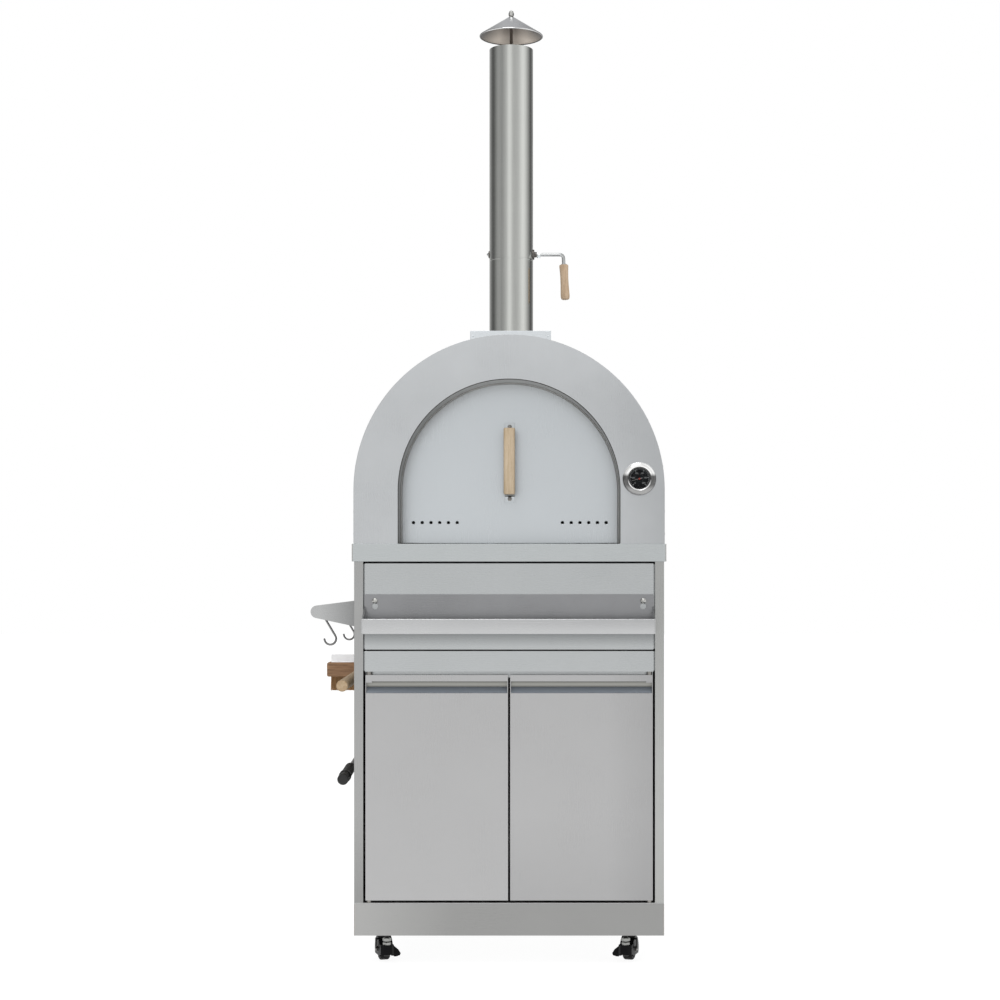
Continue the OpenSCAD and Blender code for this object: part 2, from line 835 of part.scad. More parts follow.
// S hook that hangs on the rail: two equal loops joined by a straight slanting shank.
module s_hook(y) {
    top_z = rail_at[1] + rail_r + hook_wire / 2 - hook_r;
    x = -half_w - rail_at[0];
    lean = asin(2 * hook_r / hook_span);
    open = 20;
    upper = arc([x, top_z], hook_r, open, 180 + lean, 14);
    lower = arc([x, top_z - hook_span], hook_r, lean, -180 + open, 14);
    color("dimgray")
        tube([for (p = concat(upper, lower)) [p[0], y, p[1]]], [0, 1, 0], hook_wire / 2);
}

module s_hook_front() {
    s_hook(hook_y[0]);
}

module s_hook_rear() {
    s_hook(hook_y[1]);
}

// Height of a stored tool's axis at the place y along the side panel.
function tool_z(start, tilt, y) = start[2] + (y - start[1]) * tan(tilt);

// Notched plate on the side panel that a round handle of radius r lies in.
module cradle(y, z, r, out) {
    c = -half_w - out;
    lip = 4;
    seat = r + 0.5;
    foot = 12;
    color("silver") {
        along_y(y - cradle_t / 2, y + cradle_t / 2) difference() {
            translate([c - seat - lip, z - r - 8])
                square([seat + lip + out - 2, r + 8 + 3]);
            translate([c, z + 0.3]) circle(seat);
            translate([c - seat, z + 0.3]) square([2 * seat, 2 * r]);
        }
        block([-half_w - 2, y - foot, z - r - 8], [-half_w, y + foot, z + 3]);
    }
}

module tool_cradles() {
    for (y = cradle_y) {
        cradle(y, tool_z(brush_start, brush_tilt, y), brush_r, brush_out);
        cradle(y, tool_z(rake_start, rake_tilt, y), shaft_r, rake_out);
    }
}

// Places a tool whose axis runs along +Y from its free end.
module stored(start, tilt) {
    translate(start) rotate([tilt, 0, 0]) children();
}

module brush_handle() {
    color("wheat") stored(brush_start, brush_tilt) rotate([-90, 0, 0])
        rotate_extrude() polygon([
            [0, 0], [brush_r - 3, 0], [brush_r - 1, 1], [brush_r, 3],
            [brush_r, head_at + 25], [0, head_at + 25]
        ]);
}

module brush_block() {
    s = head_size;
    color("sienna") stored(brush_start, brush_tilt) difference() {
        translate([-s[0] / 2, head_at, -s[2] / 2]) cube(s);
        bar_y(brush_r + 0.05, head_at - 1, head_at + 25.05, 0, 0);
    }
}

module brush_bristles() {
    s = head_size;
    h = 36;
    color("peru") stored(brush_start, brush_tilt)
        translate([-89, head_at + 4, -s[2] / 2 - h]) cube([178, s[1] - 8, h]);
}

module brush_scraper() {
    color("white") stored(brush_start, brush_tilt)
        translate([-88, head_at + 12, head_size[2] / 2]) cube([176, 2, 20]);
}

module rake_grip() {
    color("black") stored(rake_start, rake_tilt) difference() {
        rotate([-90, 0, 0]) rotate_extrude() polygon([
            [0, 0], [10, 0], [12, 2], [12.4, 18], [11.4, 22], [11.4, 42], [13.8, 46],
            [13.8, 58], [12, 62], [12, 170], [9, 185], [0, 185]
        ]);
        bar_y(shaft_r + 0.05, 30, 186, 0, 0);
    }
}

module rake_head() {
    blade = [56, 2, 180];
    color("gray") stored(rake_start, rake_tilt) {
        bar_y(shaft_r, 30.1, rake_len, 0, 0);
        translate([-blade[0] / 2, rake_len, -blade[2] / 2]) cube(blade);
    }
}

// ---- Casters ----

// Puts a caster's own shapes at a corner: trailing +Y, pedal side +X.
module at_corner(sx, sy) {
    translate([sx * stem_at[0] - stem_off, sy * stem_at[1], 0]) rotate([0, 0, -sx * toe])
        mirror([sx > 0 ? 1 : 0, 0, 0]) children();
}

module caster_stems() {
    color("lightgray") for (sx = [-1, 1], sy = [-1, 1])
        translate([sx * stem_at[0] - stem_off, sy * stem_at[1], 0]) {
            bar_z(stem_r, neck_z[0] - 1, plinth_z + gusset[2] + 15);
            bar_z(6.7, neck_z[0] - 3.3, neck_z[0] - 0.3);
            bar_z(nut_r, nut_z[0], nut_z[0] + 6, $fn = 6);
            bar_z(nut_r, nut_z[1], nut_z[1] + 7, $fn = 6);
            bar_z(nut_r, plinth_z + gusset[2], plinth_z + gusset[2] + 8, $fn = 6);
        }
}

module caster_fork(braked) {
    cheek = hood_x - hood_wall;
    neck = 10.5;
    difference() {
        union() {
            along_x(-hood_x, hood_x) difference() {
                union() {
                    translate([trail, wheel_r]) circle(hood_r);
                    translate([-neck, neck_z[0]])
                        square([neck + trail, neck_z[1] - neck_z[0]]);
                }
                translate([-neck - 1, -10]) square([trail + 2 * hood_r + neck, hood_z + 10]);
            }
            // Small guard tab on the outer side.
            block([-hood_x - 5.5, 22, 47], [-hood_x + eps, 32, 50]);
            block([-hood_x - 5.5, 22, 27], [-hood_x - 3.5, 32, 50]);
            if (braked) pedal_lugs();
        }
        along_x(-cheek, cheek) {
            translate([trail, wheel_r]) circle(wheel_r + 1.5);
            translate([trail - wheel_r - 1.5, -1]) square([2 * wheel_r + 3, wheel_r + 1]);
        }
        bar_x(axle_r + 0.05, -hood_x - 1, hood_x + 1, trail, wheel_r);
        bar_z(stem_r + run, neck_z[0] - 5, neck_z[1] + 1);
        bar_z(nut_r + 1, neck_z[1], hood_r + wheel_r + 1);
        for (s = [-1, 1]) translate([s * hood_x, -neck, 0]) rotate([0, 0, 45])
            translate([-4, -4, 0]) cube([8, 8, 80]);
    }
    // Axle bolt with its head and nut.
    bar_x(axle_r, -hood_x - 0.2, hood_x + 0.2, trail, wheel_r);
    for (s = [0, 1]) mirror([s, 0, 0])
        bar_x(5.5, hood_x + 0.1, hood_x + 2.6, trail, wheel_r, $fn = 6);
}

// Lugs and pin that the brake pedal turns on.
module pedal_lugs() {
    t = 2;
    for (y = [pedal_y[0] - t, pedal_y[1]])
        translate([0, y, 0]) difference() {
            along_y(0, t) {
                translate(pedal_pin) circle(4);
                translate([hood_x - eps, pedal_pin[1] - 4])
                    square([pedal_pin[0] - hood_x, 8]);
            }
        }
    bar_y(pedal_pin_r, pedal_y[0] - t, pedal_y[1] + t, pedal_pin[0], pedal_pin[1]);
}

module brake_pedal() {
    gap = 0.3;
    difference() {
        along_y(pedal_y[0] + gap, pedal_y[1] - gap) polygon([
            [16.2, 32], [18.5, 32.5], [27.5, 25], [33, 17], [31.5, 12.5], [23, 10],
            [18, 10.3], [16.2, 12]
        ]);
        bar_y(pedal_pin_r + run, pedal_y[0] - 1, pedal_y[1] + 1, pedal_pin[0], pedal_pin[1]);
    }
}

module caster_wheel() {
    w = wheel_w / 2;
    round = 4;
    translate([0, trail, wheel_r]) rotate([0, 90, 0]) rotate_extrude($fn = 64) polygon(concat(
        [[axle_r + run, -w - 1.2], [8, -w - 1.2], [8, -w]],
        arc([wheel_r - round, -w + round], round, -90, 0, 4),
        arc([wheel_r - round, w - round], round, 0, 90, 4),
        [[8, w], [8, w + 1.2], [axle_r + run, w + 1.2]]));
}

module caster_fork_fl() {
    color("black") at_corner(-1, -1) caster_fork(true);
}
module caster_fork_fr() {
    color("black") at_corner(1, -1) caster_fork(true);
}
module caster_fork_rl() {
    color("black") at_corner(-1, 1) caster_fork(false);
}
module caster_fork_rr() {
    color("black") at_corner(1, 1) caster_fork(false);
}

module caster_wheel_fl() {
    color("black") at_corner(-1, -1) caster_wheel();
}
module caster_wheel_fr() {
    color("black") at_corner(1, -1) caster_wheel();
}
module caster_wheel_rl() {
    color("black") at_corner(-1, 1) caster_wheel();
}
module caster_wheel_rr() {
    color("black") at_corner(1, 1) caster_wheel();
}

module brake_pedal_left() {
    color("black") at_corner(-1, -1) brake_pedal();
}
module brake_pedal_right() {
    color("black") at_corner(1, -1) brake_pedal();
}

// ---- Nodes ----

side_panel_left();
side_panel_right();
back_panel();
plinth();
cabinet_floor();
fascia_panel();
front_rail();
base_frame();
hearth_board();
baking_stones();
oven_facade();
oven_shell();
oven_back();
chamber_vault();
insulation();
mouth_frame();
flue_collar();
flue_pipe_lower();
flue_pipe_upper();
rain_cap();
cap_support();
damper_bushes();
thermometer_case();
thermometer_dial();
thermometer_lens();
tool_rack();
tool_cradles();
caster_stems();
tray_screws();
hinge_pins();
door_magnets();
oven_door_panel();
oven_door_liner();
oven_door_bracket();
oven_door_handle();
damper_plate();
damper_crank();
damper_grip();
cabinet_door_left();
cabinet_door_right();
hanging_tray();
thermometer_needle();
s_hook_front();
s_hook_rear();
brush_handle();
brush_block();
brush_bristles();
brush_scraper();
rake_grip();
rake_head();
caster_fork_fl();
caster_fork_fr();
caster_fork_rl();
caster_fork_rr();
caster_wheel_fl();
caster_wheel_fr();
caster_wheel_rl();
caster_wheel_rr();
brake_pedal_left();
brake_pedal_right();
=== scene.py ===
import math
import random

import bmesh
import bpy
from mathutils import Matrix, Vector


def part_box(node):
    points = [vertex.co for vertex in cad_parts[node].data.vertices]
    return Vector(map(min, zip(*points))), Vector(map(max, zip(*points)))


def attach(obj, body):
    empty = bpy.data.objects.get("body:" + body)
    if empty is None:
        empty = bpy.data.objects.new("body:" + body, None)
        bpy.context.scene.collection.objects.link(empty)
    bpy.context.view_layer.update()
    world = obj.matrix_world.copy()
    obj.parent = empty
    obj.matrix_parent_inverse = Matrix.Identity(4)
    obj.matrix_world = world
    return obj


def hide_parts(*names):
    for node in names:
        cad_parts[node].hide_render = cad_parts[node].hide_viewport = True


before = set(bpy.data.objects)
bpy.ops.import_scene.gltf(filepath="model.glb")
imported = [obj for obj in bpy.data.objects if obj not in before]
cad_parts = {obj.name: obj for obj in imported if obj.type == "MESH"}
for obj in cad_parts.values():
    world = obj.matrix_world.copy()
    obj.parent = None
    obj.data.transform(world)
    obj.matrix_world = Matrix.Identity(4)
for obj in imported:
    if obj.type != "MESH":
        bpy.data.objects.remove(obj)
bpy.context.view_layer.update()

MM = 0.001

# ---- Materials ----


class Nodes:
    """A node tree, with short ways to add nodes."""

    def __init__(self, tree):
        self.tree = tree

    def wire(self, value, socket):
        """Gives an input a fixed value, or the output of another node."""
        if isinstance(value, bpy.types.NodeSocket):
            self.tree.links.new(value, socket)
        else:
            socket.default_value = value

    def node(self, kind, inputs=None, **settings):
        made = self.tree.nodes.new("ShaderNode" + kind)
        for key, value in settings.items():
            setattr(made, key, value)
        for key, value in (inputs or {}).items():
            self.wire(value, made.inputs[key])
        return made

    def math(self, operation, *values):
        return self.node("Math", dict(enumerate(values)), operation=operation).outputs[0]


class Shader(Nodes):
    """A Principled material, with short ways to add the nodes that vary it."""

    def __init__(self, name, color, roughness=0.5, metallic=0.0, **inputs):
        self.material = bpy.data.materials.new(name)
        self.material.use_nodes = True
        super().__init__(self.material.node_tree)
        self.bsdf = self.tree.nodes["Principled BSDF"]
        self.set("Base Color", (*color, 1))
        self.set("Roughness", roughness)
        self.set("Metallic", metallic)
        for key, value in inputs.items():
            self.set(key.replace("_", " ").title().replace("Ior", "IOR"), value)

    def set(self, socket, value):
        self.wire(value, self.bsdf.inputs[socket])

    def noise(self, scale, detail=3.0, roughness=0.5):
        """Noise from 0 to 1 whose grain is 1 / scale metres along each axis."""
        where = self.node("TexCoord").outputs["Object"]
        place = self.node("Mapping", {0: where, "Scale": scale}).outputs[0]
        inputs = {"Vector": place, "Scale": 1.0, "Detail": detail, "Roughness": roughness}
        return self.node("TexNoise", inputs).outputs["Fac"]

    def spread(self, value, low, high, source=(0.3, 0.7)):
        """Maps value from the source range to low..high."""
        inputs = {"Value": value, "From Min": source[0], "From Max": source[1],
                  "To Min": low, "To Max": high}
        return self.node("MapRange", inputs, clamp=True).outputs[0]

    def fade(self, axis, start, end, low, high):
        """Factor that runs from low to high between two places in millimetres on an axis."""
        where = self.node("TexCoord").outputs["Object"]
        along = self.node("SeparateXYZ", {0: where}).outputs["XYZ".index(axis)]
        return self.spread(along, low, high, (start * MM, end * MM))

    def ramp(self, value, *stops):
        """Colour ramp through (position, colour) stops."""
        made = self.node("ValToRGB", {"Fac": value})
        elements = made.color_ramp.elements
        for i, (position, color) in enumerate(stops):
            stop = elements[i] if i < 2 else elements.new(position)
            stop.position = position
            stop.color = (*color, 1)
        return made.outputs["Color"]

    def paint(self, color, shade, *factors):
        """Gives the material a colour times varying factors."""
        for factor in factors:
            shade = self.math("MULTIPLY", shade, factor)
        gray = self.node("CombineColor", {0: shade, 1: shade, 2: shade}).outputs[0]
        made = self.node("Mix", {"Factor": 1.0}, data_type="RGBA", blend_type="MULTIPLY")
        colors = [s for s in made.inputs if s.type == "RGBA"]
        self.wire(color if isinstance(color, bpy.types.NodeSocket) else (*color, 1), colors[0])
        self.wire(gray, colors[1])
        self.set("Base Color", [s for s in made.outputs if s.type == "RGBA"][0])

    def bump(self, height, depth):
        """Relief of the given depth in metres."""
        inputs = {"Height": height, "Strength": 1.0, "Distance": depth}
        self.set("Normal", self.node("Bump", inputs).outputs["Normal"])


# Fineness of a brushed surface, in lines per metre across and along the brushing.
ACROSS, ALONG = 1800, 9


def brushed_steel(name, color, roughness=0.28, along="X", cloud=0.03, streak=0.008, painted_light_fades=(),
                  metallic=1.0):
    """Stainless steel with fine lines along one axis, faint clouds and slow bands of painted
    light.
    """
    made = Shader(name, color, roughness, metallic)
    grain = [ALONG if axis == along else ACROSS for axis in "XYZ"]
    lines = made.noise(grain, detail=4)
    clouds = made.noise((5, 5, 5), detail=4, roughness=0.6)
    made.paint(color, made.spread(lines, 1 - streak, 1 + streak),
               made.spread(clouds, 1 - cloud, 1 + cloud), *[made.fade(*fade) for fade in painted_light_fades])
    rough = made.math("ADD", made.spread(lines, -0.03, 0.03), made.spread(clouds, -0.03, 0.03))
    made.set("Roughness", made.math("ADD", rough, roughness))
    made.bump(lines, 0.0000015)
    return made.material


def wood(name, dark, mid, light, along="Z", ring=220):
    """Planed wood with grain along one axis, pores and a satin finish."""
    made = Shader(name, mid, 0.5)
    grain = [ring / 14 if axis == along else ring for axis in "XYZ"]
    figure = made.noise(grain, detail=5, roughness=0.6)
    pores = made.noise([g * 9 for g in grain], detail=2)
    board = made.noise([g / 8 for g in grain], detail=1)
    color = made.ramp(figure, (0.3, dark), (0.5, mid), (0.72, light))
    made.paint(color, made.spread(pores, 0.86, 1.04), made.spread(board, 0.9, 1.08))
    made.set("Roughness", made.spread(pores, 0.62, 0.42))
    made.bump(pores, 0.00015)
    return made.material


def moulded(name, color, roughness=0.45, grain=900, depth=0.00004, **inputs):
    """Moulded plastic or rubber with a fine spark-eroded grain."""
    made = Shader(name, color, roughness, **inputs)
    fine = made.noise((grain,) * 3, detail=3)
    broad = made.noise((30, 30, 30), detail=3)
    made.paint(color, made.spread(broad, 0.85, 1.15))
    made.set("Roughness", made.spread(broad, roughness - 0.06, roughness + 0.08))
    made.bump(fine, depth)
    return made.material


def polished(name, color, roughness=0.12, painted_light_fades=(), metallic=1.0):
    """Plated or polished metal with faint smears, and slow bands of painted light where given."""
    made = Shader(name, color, roughness, metallic)
    smear = made.noise((60, 60, 60), detail=4)
    made.set("Roughness", made.spread(smear, roughness * 0.7, roughness * 1.4))
    made.paint(color, made.spread(smear, 0.95, 1.03), *[made.fade(*fade) for fade in painted_light_fades])
    return made.material


def stone(name, color, roughness=0.9, depth=0.0006, **inputs):
    """Fired brick or cast metal with specks and small pits."""
    made = Shader(name, color, roughness, **inputs)
    specks = made.noise((700, 700, 700), detail=3)
    patches = made.noise((18, 18, 18), detail=5, roughness=0.65)
    made.paint(color, made.spread(specks, 0.8, 1.1), made.spread(patches, 0.82, 1.1))
    made.bump(made.math("ADD", specks, patches), depth)
    return made.material


def fibre(name, color):
    """Loose ceramic fibre."""
    made = Shader(name, color, 0.95)
    fluff = made.noise((160, 160, 160), detail=6, roughness=0.7)
    made.paint(color, made.spread(fluff, 0.8, 1.08))
    made.bump(fluff, 0.002)
    return made.material


def glass(name):
    """Thin clear glass with faint smears."""
    made = Shader(name, (0.05, 0.05, 0.05), 0.03)
    smear = made.noise((90, 90, 90), detail=3)
    made.set("Roughness", made.spread(smear, 0.02, 0.06))
    made.set("Alpha", made.spread(smear, 0.01, 0.03))
    return made.material


def painted_light_lining(name, low, high, crown):
    """Steel lining of the mouth, with painted light: darker at its sides, lighter toward its
    crown.
    """
    made = Shader(name, low, 0.4, 0.9)
    clouds = made.noise((14, 14, 14), detail=5, roughness=0.6)
    color = made.ramp(made.fade("Z", 1160, 1285, 0, 1), (0.0, low), (0.55, high), (1.0, crown))
    made.paint(color, made.spread(clouds, 0.86, 1.12))
    made.bump(clouds, 0.0001)
    return made.material


# Brushed sheet, by where it is on the oven; the fades are painted light, not tones of the steel.
STEEL = {
    "base": dict(color=(0.50, 0.525, 0.53)),
    "panel": dict(color=(0.48, 0.485, 0.485)),
    # Painted shade: the rack darkens toward the side panel beside it.
    "rack": dict(color=(0.47, 0.475, 0.475), painted_light_fades=[("X", -420, -345, 1, 0.6)]),
    "collar": dict(color=(0.75, 0.785, 0.81)),
    # Painted shadow: darker from z 702 up under and behind the hanging tray, full tone above z
    # 800.
    "fascia": dict(color=(0.472, 0.489, 0.494),
                   painted_light_fades=[("Z", 702, 728, 1, 0.6), ("Z", 760, 800, 1, 1.65)]),
    # Painted shade: the left post is a darker, shaded copy of the right post's steel, both darken
    # toward their foot, and the right post also darkens toward its top.
    "upright_left": dict(color=(0.378, 0.38, 0.376), along="Z", painted_light_fades=[("Z", 139, 330, 0.79, 1)]),
    "upright_right": dict(color=(0.445, 0.45, 0.44), along="Z",
                          painted_light_fades=[("Z", 139, 300, 0.94, 1), ("Z", 450, 800, 1, 0.88)]),
    # Painted light: the facade lightens toward its top and darkens toward its right side.
    "facade": dict(color=(0.53, 0.546, 0.558), roughness=0.3, along="Z", cloud=0.05,
                   painted_light_fades=[("Z", 1240, 1380, 1, 1.1), ("X", 230, 340, 1, 0.86)]),
    # Painted shade toward the right edge (X 215 to 318), which only the right door reaches; the
    # right door also darkens toward its foot.
    "door": dict(color=(0.45, 0.45, 0.452), roughness=0.3, along="Z",
                 painted_light_fades=[("X", 215, 318, 1, 0.87)]),
    "door_right": dict(color=(0.45, 0.45, 0.452), roughness=0.3, along="Z",
                       painted_light_fades=[("X", 215, 318, 1, 0.87), ("Z", 150, 330, 0.9, 1)]),
    # Painted shadow and reflection in the door pulls: the back is darkened under the lip and at
    # its
    # foot, and the slope's blue-grey, barely metallic tone and gradient are a painted reflection.
    "pull_back": dict(color=(0.37, 0.37, 0.345), roughness=0.4,
                      painted_light_fades=[("Z", 613, 617, 0.45, 1), ("Z", 620, 625, 1, 0.5)]),
    "pull_slope": dict(color=(0.26, 0.29, 0.33), roughness=0.4, metallic=0.2,
                       painted_light_fades=[("Z", 600, 613, 1.15, 0.75)]),
    "oven_door": dict(color=(0.572, 0.603, 0.624), roughness=0.3, along="Z", cloud=0.02),
    "tray": dict(color=(0.52, 0.525, 0.53), roughness=0.26),
    "tray_back": dict(color=(0.277, 0.28, 0.288), roughness=0.3, cloud=0.1),
    # Painted shade: the plinth darkens from its left end toward the middle and stays darker to the
    # right.
    "plinth": dict(color=(0.398, 0.398, 0.392), roughness=0.3,
                   painted_light_fades=[("X", -330, -120, 1.02, 0.79)]),
    "flue": dict(color=(0.60, 0.61, 0.585), roughness=0.17, along="Z", streak=0.05),
    # Painted light on the rain cap: a painted highlight about the middle and painted shade at both
    # edges; the inside is a brown, half-metallic painted reflection, darker at its ends and front
    # and
    # lighter toward its back; the rim darkens toward its back and its left end.
    "cap": dict(color=(0.62, 0.63, 0.65), roughness=0.3, along="Y", cloud=0.08,
                painted_light_fades=[("X", -70, -18, 0.5, 1.25), ("X", 12, 72, 1, 0.4)]),
    "cap_inside": dict(color=(0.37, 0.33, 0.29), roughness=0.35, cloud=0.1, metallic=0.6,
                       painted_light_fades=[("X", -74, -30, 0.4, 1), ("X", 35, 74, 1, 0.5),
                              ("Y", 6, 52, 0.3, 1.5)]),
    "cap_rim": dict(color=(0.62, 0.62, 0.62), roughness=0.25,
                    painted_light_fades=[("Y", -60, 10, 1.1, 0.1), ("X", -74, -50, 0.3, 1)]),
    "inner": dict(color=(0.33, 0.32, 0.30), roughness=0.45, cloud=0.2),
    # Painted light: the seal is near white and barely metallic, so the gap round the oven door
    # reads lit.
    "seal": dict(color=(0.80, 0.80, 0.79), roughness=0.5, cloud=0.1, metallic=0.2),
    # Painted shade: near black, the dark line along the mouth's edge.
    "mouth_edge": dict(color=(0.05, 0.047, 0.044), roughness=0.5, cloud=0.1),
    # Painted highlight: near white and barely metallic, so the brush's scraper reads as lit.
    "bright": dict(color=(0.95, 0.95, 0.96), roughness=0.4, cloud=0.01, metallic=0.25),
}
M = {name: brushed_steel("steel_" + name, **look) for name, look in STEEL.items()}
M |= {
    "mouth": painted_light_lining("steel_mouth", (0.205, 0.198, 0.183), (0.215, 0.205, 0.19),
                          (0.35, 0.34, 0.32)),
    "rod": polished("rod_steel", (0.55, 0.56, 0.56), 0.2),
    # Painted reflection: brown and barely metallic, for the rod under the cap.
    "cap_rod": polished("cap_rod_steel", (0.20, 0.165, 0.14), 0.5, metallic=0.3),
    "weld": stone("weld_bead", (0.42, 0.40, 0.38), metallic=1.0, roughness=0.4, depth=0.0002),
    "zinc": polished("zinc", (0.55, 0.55, 0.53), 0.3),
    "dark_zinc": polished("dark_zinc", (0.30, 0.29, 0.275), 0.35),
    "nut": polished("caster_nut", (0.34, 0.345, 0.33), 0.35),
    # Painted light: the bezel is bright at its foot, darker through the middle and near white at
    # its
    # top; the lip is bright at its foot and near black at its top, painted highlight and shade.
    "bezel": polished("bezel_chrome", (0.262, 0.262, 0.26), 0.12, metallic=0.6,
                      painted_light_fades=[("Z", 1047, 1057, 1.35, 0.45), ("Z", 1076, 1083, 1, 8)]),
    "bezel_lip": polished("bezel_lip_chrome", (0.9, 0.9, 0.9), 0.2, metallic=0.5,
                          painted_light_fades=[("Z", 1058, 1070, 1, 0.08)]),
    "hook": polished("hook_steel", (0.22, 0.22, 0.22), 0.28),
    "bush": polished("bush_steel", (0.15, 0.14, 0.13), 0.35),
    "black_metal": moulded("black_metal", (0.02, 0.02, 0.02), 0.4),
    "caster": moulded("caster_plastic", (0.003, 0.003, 0.0035), 0.4, specular_ior_level=0.1),
    "tread": moulded("caster_tread", (0.004, 0.004, 0.004), 0.5, specular_ior_level=0.1),
    "rubber": moulded("grip_rubber", (0.007, 0.007, 0.007), 0.5, grain=1400, depth=0.0002),
    "dial": moulded("dial_face", (0.004, 0.005, 0.006), 0.6, specular_ior_level=0.1),
    "dial_mark": moulded("dial_mark", (0.20, 0.21, 0.21), 0.5),
    "pointer": moulded("pointer_paint", (0.20, 0.20, 0.19), 0.5),
    "needle": moulded("needle_red", (0.38, 0.04, 0.025), 0.5),
    "glass": glass("lens_glass"),
    "handle_wood": wood("handle_wood", (0.42, 0.315, 0.195), (0.51, 0.40, 0.27),
                        (0.565, 0.46, 0.33)),
    "grip_wood": wood("grip_wood", (0.39, 0.275, 0.17), (0.51, 0.37, 0.245),
                      (0.59, 0.45, 0.315)),
    "brush_wood": wood("brush_wood", (0.35, 0.24, 0.125), (0.45, 0.32, 0.19),
                       (0.52, 0.40, 0.26), along="Y"),
    "block_wood": wood("block_wood", (0.16, 0.085, 0.04), (0.28, 0.15, 0.072),
                       (0.38, 0.22, 0.11), along="X"),
    "bristle": moulded("bristle", (0.42, 0.25, 0.12), 0.5),
    "brick": stone("firebrick", (0.62, 0.52, 0.38)),
    "board": stone("insulating_board", (0.66, 0.64, 0.58)),
    "fibre": fibre("ceramic_fibre", (0.80, 0.77, 0.68)),
}

# ---- Shapes, in millimetres ----


def basis(x, y):
    """Matrix that turns the X and Y axes to x and y."""
    x, y = Vector(x), Vector(y)
    return Matrix((x, y, x.cross(y))).transposed().to_4x4()


# What a shape's own Z axis becomes.
AXES = {"Z": basis((1, 0, 0), (0, 1, 0)), "-Z": basis((1, 0, 0), (0, -1, 0)),
        "X": basis((0, 1, 0), (0, 0, 1)), "-X": basis((0, -1, 0), (0, 0, 1)),
        "Y": basis((-1, 0, 0), (0, 0, 1)), "-Y": basis((1, 0, 0), (0, 0, 1))}


def turn(i, steps):
    return 2 * math.pi * i / steps


def bow(centre, across, up, angles):
    """Points at angles in degrees on an ellipse with the given half axes."""
    return [(centre[0] + across * math.cos(math.radians(a)),
             centre[1] + up * math.sin(math.radians(a))) for a in angles]


def oval(centre, across, up, steps=10):
    """Closed outline of an ellipse."""
    return bow(centre, across, up, [360 * i / steps for i in range(steps)])


def circle(radius, z, steps, centre=(0, 0)):
    return [(x, y, z) for x, y in oval(centre, radius, radius, steps)]


def arc(centre, radius, start, end, steps=8):
    """Points of an arc between two angles in degrees."""
    return bow(centre, radius, radius, [start + (end - start) * i / steps
                                        for i in range(steps + 1)])


def stadium(x, y, radius, steps=10):
    """Outline with round ends about (-x, y) and (x, y)."""
    return arc((x, y), radius, -90, 90, steps) + arc((-x, y), radius, 90, 270, steps)


def rounded(points, radius, steps=4, closed=False):
    """The path with its corners replaced by curves that start radius away from them."""
    points = [Vector(p) for p in points]
    n = len(points)
    path = []
    for i, corner in enumerate(points):
        if not closed and i in (0, n - 1):
            path.append(corner)
            continue
        before, after = points[i - 1], points[(i + 1) % n]
        reach = min(radius, (before - corner).length * 0.49, (after - corner).length * 0.49)
        a = corner + (before - corner).normalized() * reach
        b = corner + (after - corner).normalized() * reach
        for k in range(steps + 1):
            t = k / steps
            path.append(a * (1 - t) ** 2 + corner * 2 * t * (1 - t) + b * t ** 2)
    return path


def rectangle(x, y, radius, steps=6):
    """Rounded outline that reaches x and y from its middle."""
    return rounded([(-x, -y), (x, -y), (x, y), (-x, y)], radius, steps, closed=True)


def ribbon(path, thickness):
    """Closed outline of the given thickness around an open 2-D path."""
    path = [Vector(p) for p in path]
    n = len(path)
    sides = ([], [])
    for i, point in enumerate(path):
        ways = [(path[k + 1] - path[k]).normalized() for k in (i - 1, i) if 0 <= k < n - 1]
        normals = [Vector((-w.y, w.x)) for w in ways]
        mean = sum(normals, Vector((0, 0))).normalized()
        offset = mean * (thickness / 2 / max(0.4, mean.dot(normals[0])))
        sides[0].append(point + offset)
        sides[1].append(point - offset)
    return sides[0] + sides[1][::-1]


